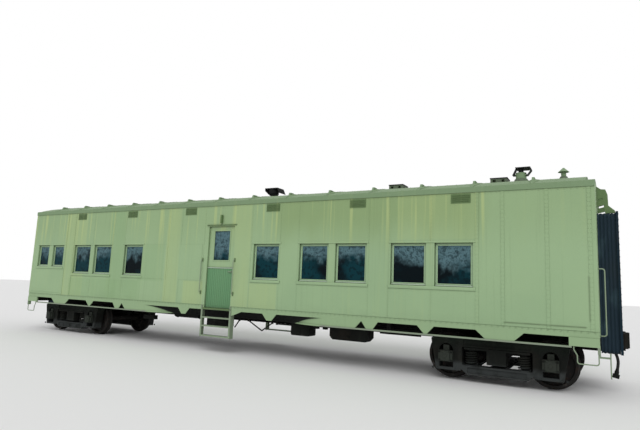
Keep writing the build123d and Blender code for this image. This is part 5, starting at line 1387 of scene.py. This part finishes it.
class SLEEPER_OT_end_fittings(bpy.types.Operator):
    """Fittings of the couplers, rivets on the face plates, and trim and handles of the end doors"""
    bl_idname = "sleeper.end_fittings"
    bl_label = "End fittings"

    def execute(self, context):
        sizes = context.scene.sleeper_fittings
        doors = context.scene.sleeper_doors
        for end, sign in ends.items():
            self.fit_coupler(end, sign, sizes)
            self.rivet_plate(end, sign)
            self.trim_leaf(end, sign, doors)
        return {"FINISHED"}

    def fit_coupler(self, end, sign, sizes):
        """Pins and lever of a coupler, and the bolted striking plate round its shank."""
        mesh = bmesh.new()
        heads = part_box("couplers")
        tip = heads[1].x
        for back, across, level, start, stop, radius, end_radius, segments in coupler_pins:
            zs = (heads[level].z + start, heads[level].z + stop)
            post(mesh, sign * (tip - back), sign * across, zs, radius, end_radius, segments)
        back, across, height = lever_place
        lever = Vector((sign * (tip - back), sign * across, heads[1].z + height))
        block(mesh, lever - lever_half, lever + lever_half)
        for left, right, bottom, top in striker_bars:
            slab(mesh, plate(sign * car_end, sign, 0, striker_proud), (left, right), (bottom, top))
        soften(mesh, 0.004)
        for y in (-striker_bolt, striker_bolt):
            for z in striker_bolt_heights:
                bolt(mesh, (sign * (car_end + striker_proud), y, z), (sign, 0, 0),
                     0.8 * sizes.bolt_radius, sizes.bolt_proud)
        add_piece(f"coupler_fittings_{end}", mesh, "cast_coupler", "car")

    def rivet_plate(self, end, sign):
        """Rows of rivets up the sides and along the top of a face plate."""
        mesh = bmesh.new()
        low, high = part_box("face_plates")
        columns = [y for inset in plate_columns for y in (low.y + inset, high.y - inset)]
        seats = [(y, z) for y in columns
                 for z in steps_between(low.z + plate_column_end, high.z - plate_column_end, plate_pitch)]
        seats += [(y, high.z - under) for under in plate_rows
                  for y in steps_between(low.y + plate_row_end, high.y - plate_row_end, plate_pitch)]
        for y, z in seats:
            rivet(mesh, (sign * high.x, y, z), (sign, 0, 0), *plate_head)
        add_piece(f"plate_rivets_{end}", mesh, "plate_paint", "car")

    def trim_leaf(self, end, sign, doors):
        """Moulding, kick plate, panel and handle of an end leaf."""
        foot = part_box(f"end_door_{end}")[0].z
        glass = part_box(f"end_door_glass_{end}")
        front = sign * (max(abs(glass[0].x), abs(glass[1].x)) + leaf_over_glass)
        mesh = bmesh.new()
        width = doors.moulding_width
        reach = width - moulding_lap
        span = (glass[1].y - glass[0].y) / 2 + reach
        hollow_frame(mesh, (-span, -0.012, glass[0].z - reach),
                     (span, doors.moulding_proud, glass[1].z + reach), width)
        turn = Matrix.Rotation(-sign * math.pi / 2, 3, "Z")
        bmesh.ops.rotate(mesh, cent=(0, 0, 0), matrix=turn, verts=mesh.verts)
        bmesh.ops.translate(mesh, verts=mesh.verts, vec=(front, 0, 0))
        slab(mesh, plate(front, sign, 0, kick_proud), about(0, kick_half),
             (foot + kick_bottom, foot + kick_top))
        half, low, high = panel_half, foot + panel_bottom, foot + panel_top
        # Four bars of the panel moulding: places across the car, heights
        bars = [((-half, panel_border - half), (low, high)), ((half - panel_border, half), (low, high)),
                ((-half, half), (low, low + panel_border)), ((-half, half), (high - panel_border, high))]
        for ys, zs in bars:
            slab(mesh, plate(front, sign, 0, panel_proud), ys, zs)
        body = f"end_leaf_{end}"
        add_piece(f"end_door_trim_{end}", mesh, "side_paint", body, 0.0015)
        mesh = bmesh.new()
        seat = (front, -sign * end_handle[0], foot + end_handle[1])
        add_handle(mesh, seat, (sign, 0, 0), (0, sign, 0), doors)
        add_piece(f"end_door_handle_{end}", mesh, "cast_coupler", body, 0.0015)


# Pipes along the car: place across the car, height, thickness in pipe radii
floor_pipes = [(-0.330, 0.800, 1.0), (0.330, 0.800, 1.0), (-0.300, 0.845, 0.55)]
# How far a pipe stops short of the car's end
pipe_short = 0.10
# Clip of a pipe: half its width, how far it stands out beside and under the pipe, and into the bearer
clip_half, clip_side, clip_under = 0.020, 0.008, 0.006
# Brake rods: start and end along the car, place across the car, height
brake_rods = [(-4.55, 0.20, 0.275, 0.730), (0.20, 4.55, 0.275, 0.730)]
# Half height of the pins at a rod's ends; thickness of rods and pins in pipe radii
rod_pin, rod_share, pin_share = 0.035, 0.6, 0.9
# Crossbearers narrower than this carry clips and bolts
bearer_limit = 0.2
# Bolts of a bearer: distance from its edges, shares of its half length, shift away from the middle
bearer_inset, bearer_shares, bearer_shift = 0.035, (0.12, 0.5, 0.9), 0.02
# Bands round the drums: place from a drum's end, half width, height
band_inset, band_half, band_proud = 0.05, 0.012, 0.012
# Drum heads: how far each part starts and ends from the drum's end; radii as a share of the drum's, and
# of the fitting in its middle
head_end, head_radii = 0.030, (0.75, 0.45)
fitting_start, fitting_end, fitting_radii = 0.020, 0.075, (0.028, 0.022)
# Ring of bolts on a drum head: how many, radius of the ring as a share of the drum's
head_bolts, head_ring = 8, 0.86
# Bolts of the side steps' hangers: distance from a hanger's edge, from the sill's foot and top, pitch
hanger_inset, hanger_end, hanger_pitch = 0.022, 0.020, 0.045


class SLEEPER_OT_underfloor(bpy.types.Operator):
    """Air and steam pipes along the floor with their clips, brake rods and bolts on the bearers"""
    bl_idname = "sleeper.underfloor"
    bl_label = "Under the floor"

    def execute(self, context):
        sizes = context.scene.sleeper_fittings
        self.lay_pipes(sizes)
        self.band_drums(sizes)
        self.bolt_steps(sizes)
        return {"FINISHED"}

    def lay_pipes(self, sizes):
        """Pipes with their clips, brake rods with their pins, and the bearers' bolts."""
        radius = sizes.pipe_radius
        mesh = bmesh.new()
        bearers = [box for box in solid_boxes("crossbearers") if box[1].x - box[0].x < bearer_limit]
        for y, z, size in floor_pipes:
            thick = size * radius
            rod(mesh, (-car_end + pipe_short, car_end - pipe_short), y, z, thick)
            for low, high in bearers:
                if low.y <= y <= high.y:
                    slab(mesh, about((low.x + high.x) / 2, clip_half), about(y, thick + clip_side),
                         (z - thick - clip_under, low.z + sunk))
        for start, end, y, z in brake_rods:
            rod(mesh, (start, end), y, z, rod_share * radius, None, 10)
            for x in (start, end):
                post(mesh, x, y, about(z, rod_pin), pin_share * radius)
        for low, high in bearers:
            side, edge = outer_face(low, high)
            for x in (low.x + bearer_inset, high.x - bearer_inset):
                for share in bearer_shares:
                    bolt(mesh, (x, share * edge + side * bearer_shift, low.z), (0, 0, -1),
                         0.8 * sizes.bolt_radius, sizes.bolt_proud)
        add_piece("floor_pipes", mesh, "underframe_iron", "car")

    def band_drums(self, sizes):
        """Bands, heads and bolts on the brake cylinder and the reservoir."""
        mesh = bmesh.new()
        for low, high in solid_boxes("brake_gear"):
            y, drum = (low.y + high.y) / 2, (high.y - low.y) / 2
            z = low.z + drum
            for x in (low.x + band_inset, high.x - band_inset):
                rod(mesh, about(x, band_half), y, z, drum + band_proud, None, 40)
            for sign, x in ((-1, low.x), (1, high.x)):
                rod(mesh, (x, x + sign * head_end), y, z, head_radii[0] * drum, head_radii[1] * drum, 32)
                rod(mesh, (x + sign * fitting_start, x + sign * fitting_end), y, z, *fitting_radii, 16)
                for turn in range(head_bolts):
                    angle = 2 * math.pi * turn / head_bolts
                    ring = head_ring * drum
                    bolt(mesh, (x, y + ring * math.cos(angle), z + ring * math.sin(angle)), (sign, 0, 0),
                         0.7 * sizes.bolt_radius, sizes.bolt_proud)
        add_piece("drum_bands", mesh, "underframe_iron", "car", 0.003)

    def bolt_steps(self, sizes):
        """Bolts that hold the hangers of the side steps to the sill."""
        mesh = bmesh.new()
        low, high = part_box("side_steps")
        face = max(abs(low.y), abs(high.y))
        for side in (-1, 1):
            for x in (low.x + hanger_inset, high.x - hanger_inset):
                for z in steps_between(sill_bottom + hanger_end, wall_bottom - hanger_end, hanger_pitch):
                    bolt(mesh, (x, side * face, z), (0, side, 0), 0.6 * sizes.bolt_radius,
                         0.6 * sizes.bolt_proud)
        add_piece("step_bolts", mesh, "step_paint", "car")


# Width of the photograph in pixels
photo_width = 640.0
# Key lamp: spread, tilt and turn in degrees
lamp_spread, lamp_tilt, lamp_turn = 40, 48, 24
floor_reach = 150.0


class SLEEPER_OT_stage(bpy.types.Operator):
    """Pale floor, plain soft light and the camera at the photograph's viewing angle"""
    bl_idname = "sleeper.stage"
    bl_label = "Stage"

    def execute(self, context):
        settings = context.scene.sleeper_stage
        scene = context.scene
        scene.view_settings.view_transform = "Standard"

        data = bpy.data.cameras.new("camera")
        data.sensor_width = 36.0
        data.sensor_fit = "HORIZONTAL"
        data.lens = settings.focal * data.sensor_width / photo_width
        data.clip_end = 500.0
        camera = bpy.data.objects.new("camera", data)
        scene.collection.objects.link(camera)
        turn = Matrix.Rotation(settings.yaw, 4, "Z") @ Matrix.Rotation(math.pi / 2 + settings.pitch, 4, "X")
        turn = turn @ Matrix.Rotation(settings.roll, 4, "Z")
        camera.matrix_world = Matrix.Translation(settings.eye) @ turn
        scene.camera = camera

        mesh = bmesh.new()
        bmesh.ops.create_grid(mesh, x_segments=1, y_segments=1, size=floor_reach)
        plane = bpy.data.meshes.new("studio_floor")
        mesh.to_mesh(plane)
        mesh.free()
        paper = bpy.data.materials.new("studio_paper")
        paper.use_nodes = True
        shader = paper.node_tree.nodes["Principled BSDF"]
        shader.inputs["Base Color"].default_value = (*settings.floor, 1.0)
        shader.inputs["Roughness"].default_value = 0.9
        plane.materials.append(paper)
        floor = bpy.data.objects.new("studio_floor", plane)
        scene.collection.objects.link(floor)

        lamp = bpy.data.lights.new("key_lamp", "SUN")
        lamp.energy = settings.lamp
        lamp.angle = math.radians(lamp_spread)
        light = bpy.data.objects.new("key_lamp", lamp)
        scene.collection.objects.link(light)
        light.rotation_euler = Euler((math.radians(lamp_tilt), 0, math.radians(lamp_turn)))

        world = bpy.data.worlds.new("studio")
        world.use_nodes = True
        nodes, links = world.node_tree.nodes, world.node_tree.links
        even = nodes["Background"]
        even.inputs["Color"].default_value = (1.0, 1.0, 1.0, 1.0)
        even.inputs["Strength"].default_value = settings.sky
        seen = nodes.new("ShaderNodeBackground")
        seen.inputs["Color"].default_value = (1.0, 1.0, 1.0, 1.0)
        seen.inputs["Strength"].default_value = 1.0
        rays = nodes.new("ShaderNodeLightPath")
        share = rays.outputs["Is Camera Ray"]
        for kind in ("Is Glossy Ray", "Is Transmission Ray"):
            either = nodes.new("ShaderNodeMath")
            either.operation = "MAXIMUM"
            links.new(share, either.inputs[0])
            links.new(rays.outputs[kind], either.inputs[1])
            share = either.outputs[0]
        mix = nodes.new("ShaderNodeMixShader")
        links.new(share, mix.inputs[0])
        links.new(even.outputs[0], mix.inputs[1])
        links.new(seen.outputs[0], mix.inputs[2])
        links.new(mix.outputs[0], nodes["World Output"].inputs["Surface"])
        scene.world = world
        return {"FINISHED"}


class SLEEPER_PT_panel(bpy.types.Panel):
    """Sizes, colours and steps of the sleeper car"""
    bl_idname = "SLEEPER_PT_panel"
    bl_label = "Sleeper car"
    bl_space_type = "VIEW_3D"
    bl_region_type = "UI"
    bl_category = "Sleeper car"

    def draw(self, context):
        for name in settings_groups:
            group = getattr(context.scene, name)
            box = self.layout.box()
            for key in group.__annotations__:
                box.prop(group, key)
        for operator in operators:
            self.layout.operator(operator.bl_idname)


settings_groups = {
    "sleeper_colours": PaintColours,
    "sleeper_hoses": HoseSizes,
    "sleeper_windows": WindowSizes,
    "sleeper_seams": SeamSizes,
    "sleeper_doors": DoorSizes,
    "sleeper_vents": VentSizes,
    "sleeper_springs": SpringSizes,
    "sleeper_bellows": BellowsSizes,
    "sleeper_fittings": FittingSizes,
    "sleeper_stage": StageSettings,
}
operators = (
    SLEEPER_OT_paint,
    SLEEPER_OT_hoses,
    SLEEPER_OT_windows,
    SLEEPER_OT_seams,
    SLEEPER_OT_louvres,
    SLEEPER_OT_doors,
    SLEEPER_OT_springs,
    SLEEPER_OT_bellows,
    SLEEPER_OT_small_fittings,
    SLEEPER_OT_truck_fittings,
    SLEEPER_OT_roof_fittings,
    SLEEPER_OT_end_fittings,
    SLEEPER_OT_underfloor,
    SLEEPER_OT_stage,
)


def register():
    for name, group in settings_groups.items():
        bpy.utils.register_class(group)
        setattr(bpy.types.Scene, name, PointerProperty(type=group))
    for operator in operators:
        bpy.utils.register_class(operator)
    bpy.utils.register_class(SLEEPER_PT_panel)


def unregister():
    bpy.utils.unregister_class(SLEEPER_PT_panel)
    for operator in reversed(operators):
        bpy.utils.unregister_class(operator)
    for name, group in settings_groups.items():
        delattr(bpy.types.Scene, name)
        bpy.utils.unregister_class(group)


def main():
    register()
    bpy.ops.sleeper.paint()
    bpy.ops.sleeper.hoses()
    bpy.ops.sleeper.windows()
    bpy.ops.sleeper.seams()
    bpy.ops.sleeper.louvres()
    bpy.ops.sleeper.doors()
    bpy.ops.sleeper.springs()
    bpy.ops.sleeper.bellows()
    bpy.ops.sleeper.small_fittings()
    bpy.ops.sleeper.truck_fittings()
    bpy.ops.sleeper.roof_fittings()
    bpy.ops.sleeper.end_fittings()
    bpy.ops.sleeper.underfloor()
    bpy.ops.sleeper.stage()


if __name__ == "__main__":
    main()
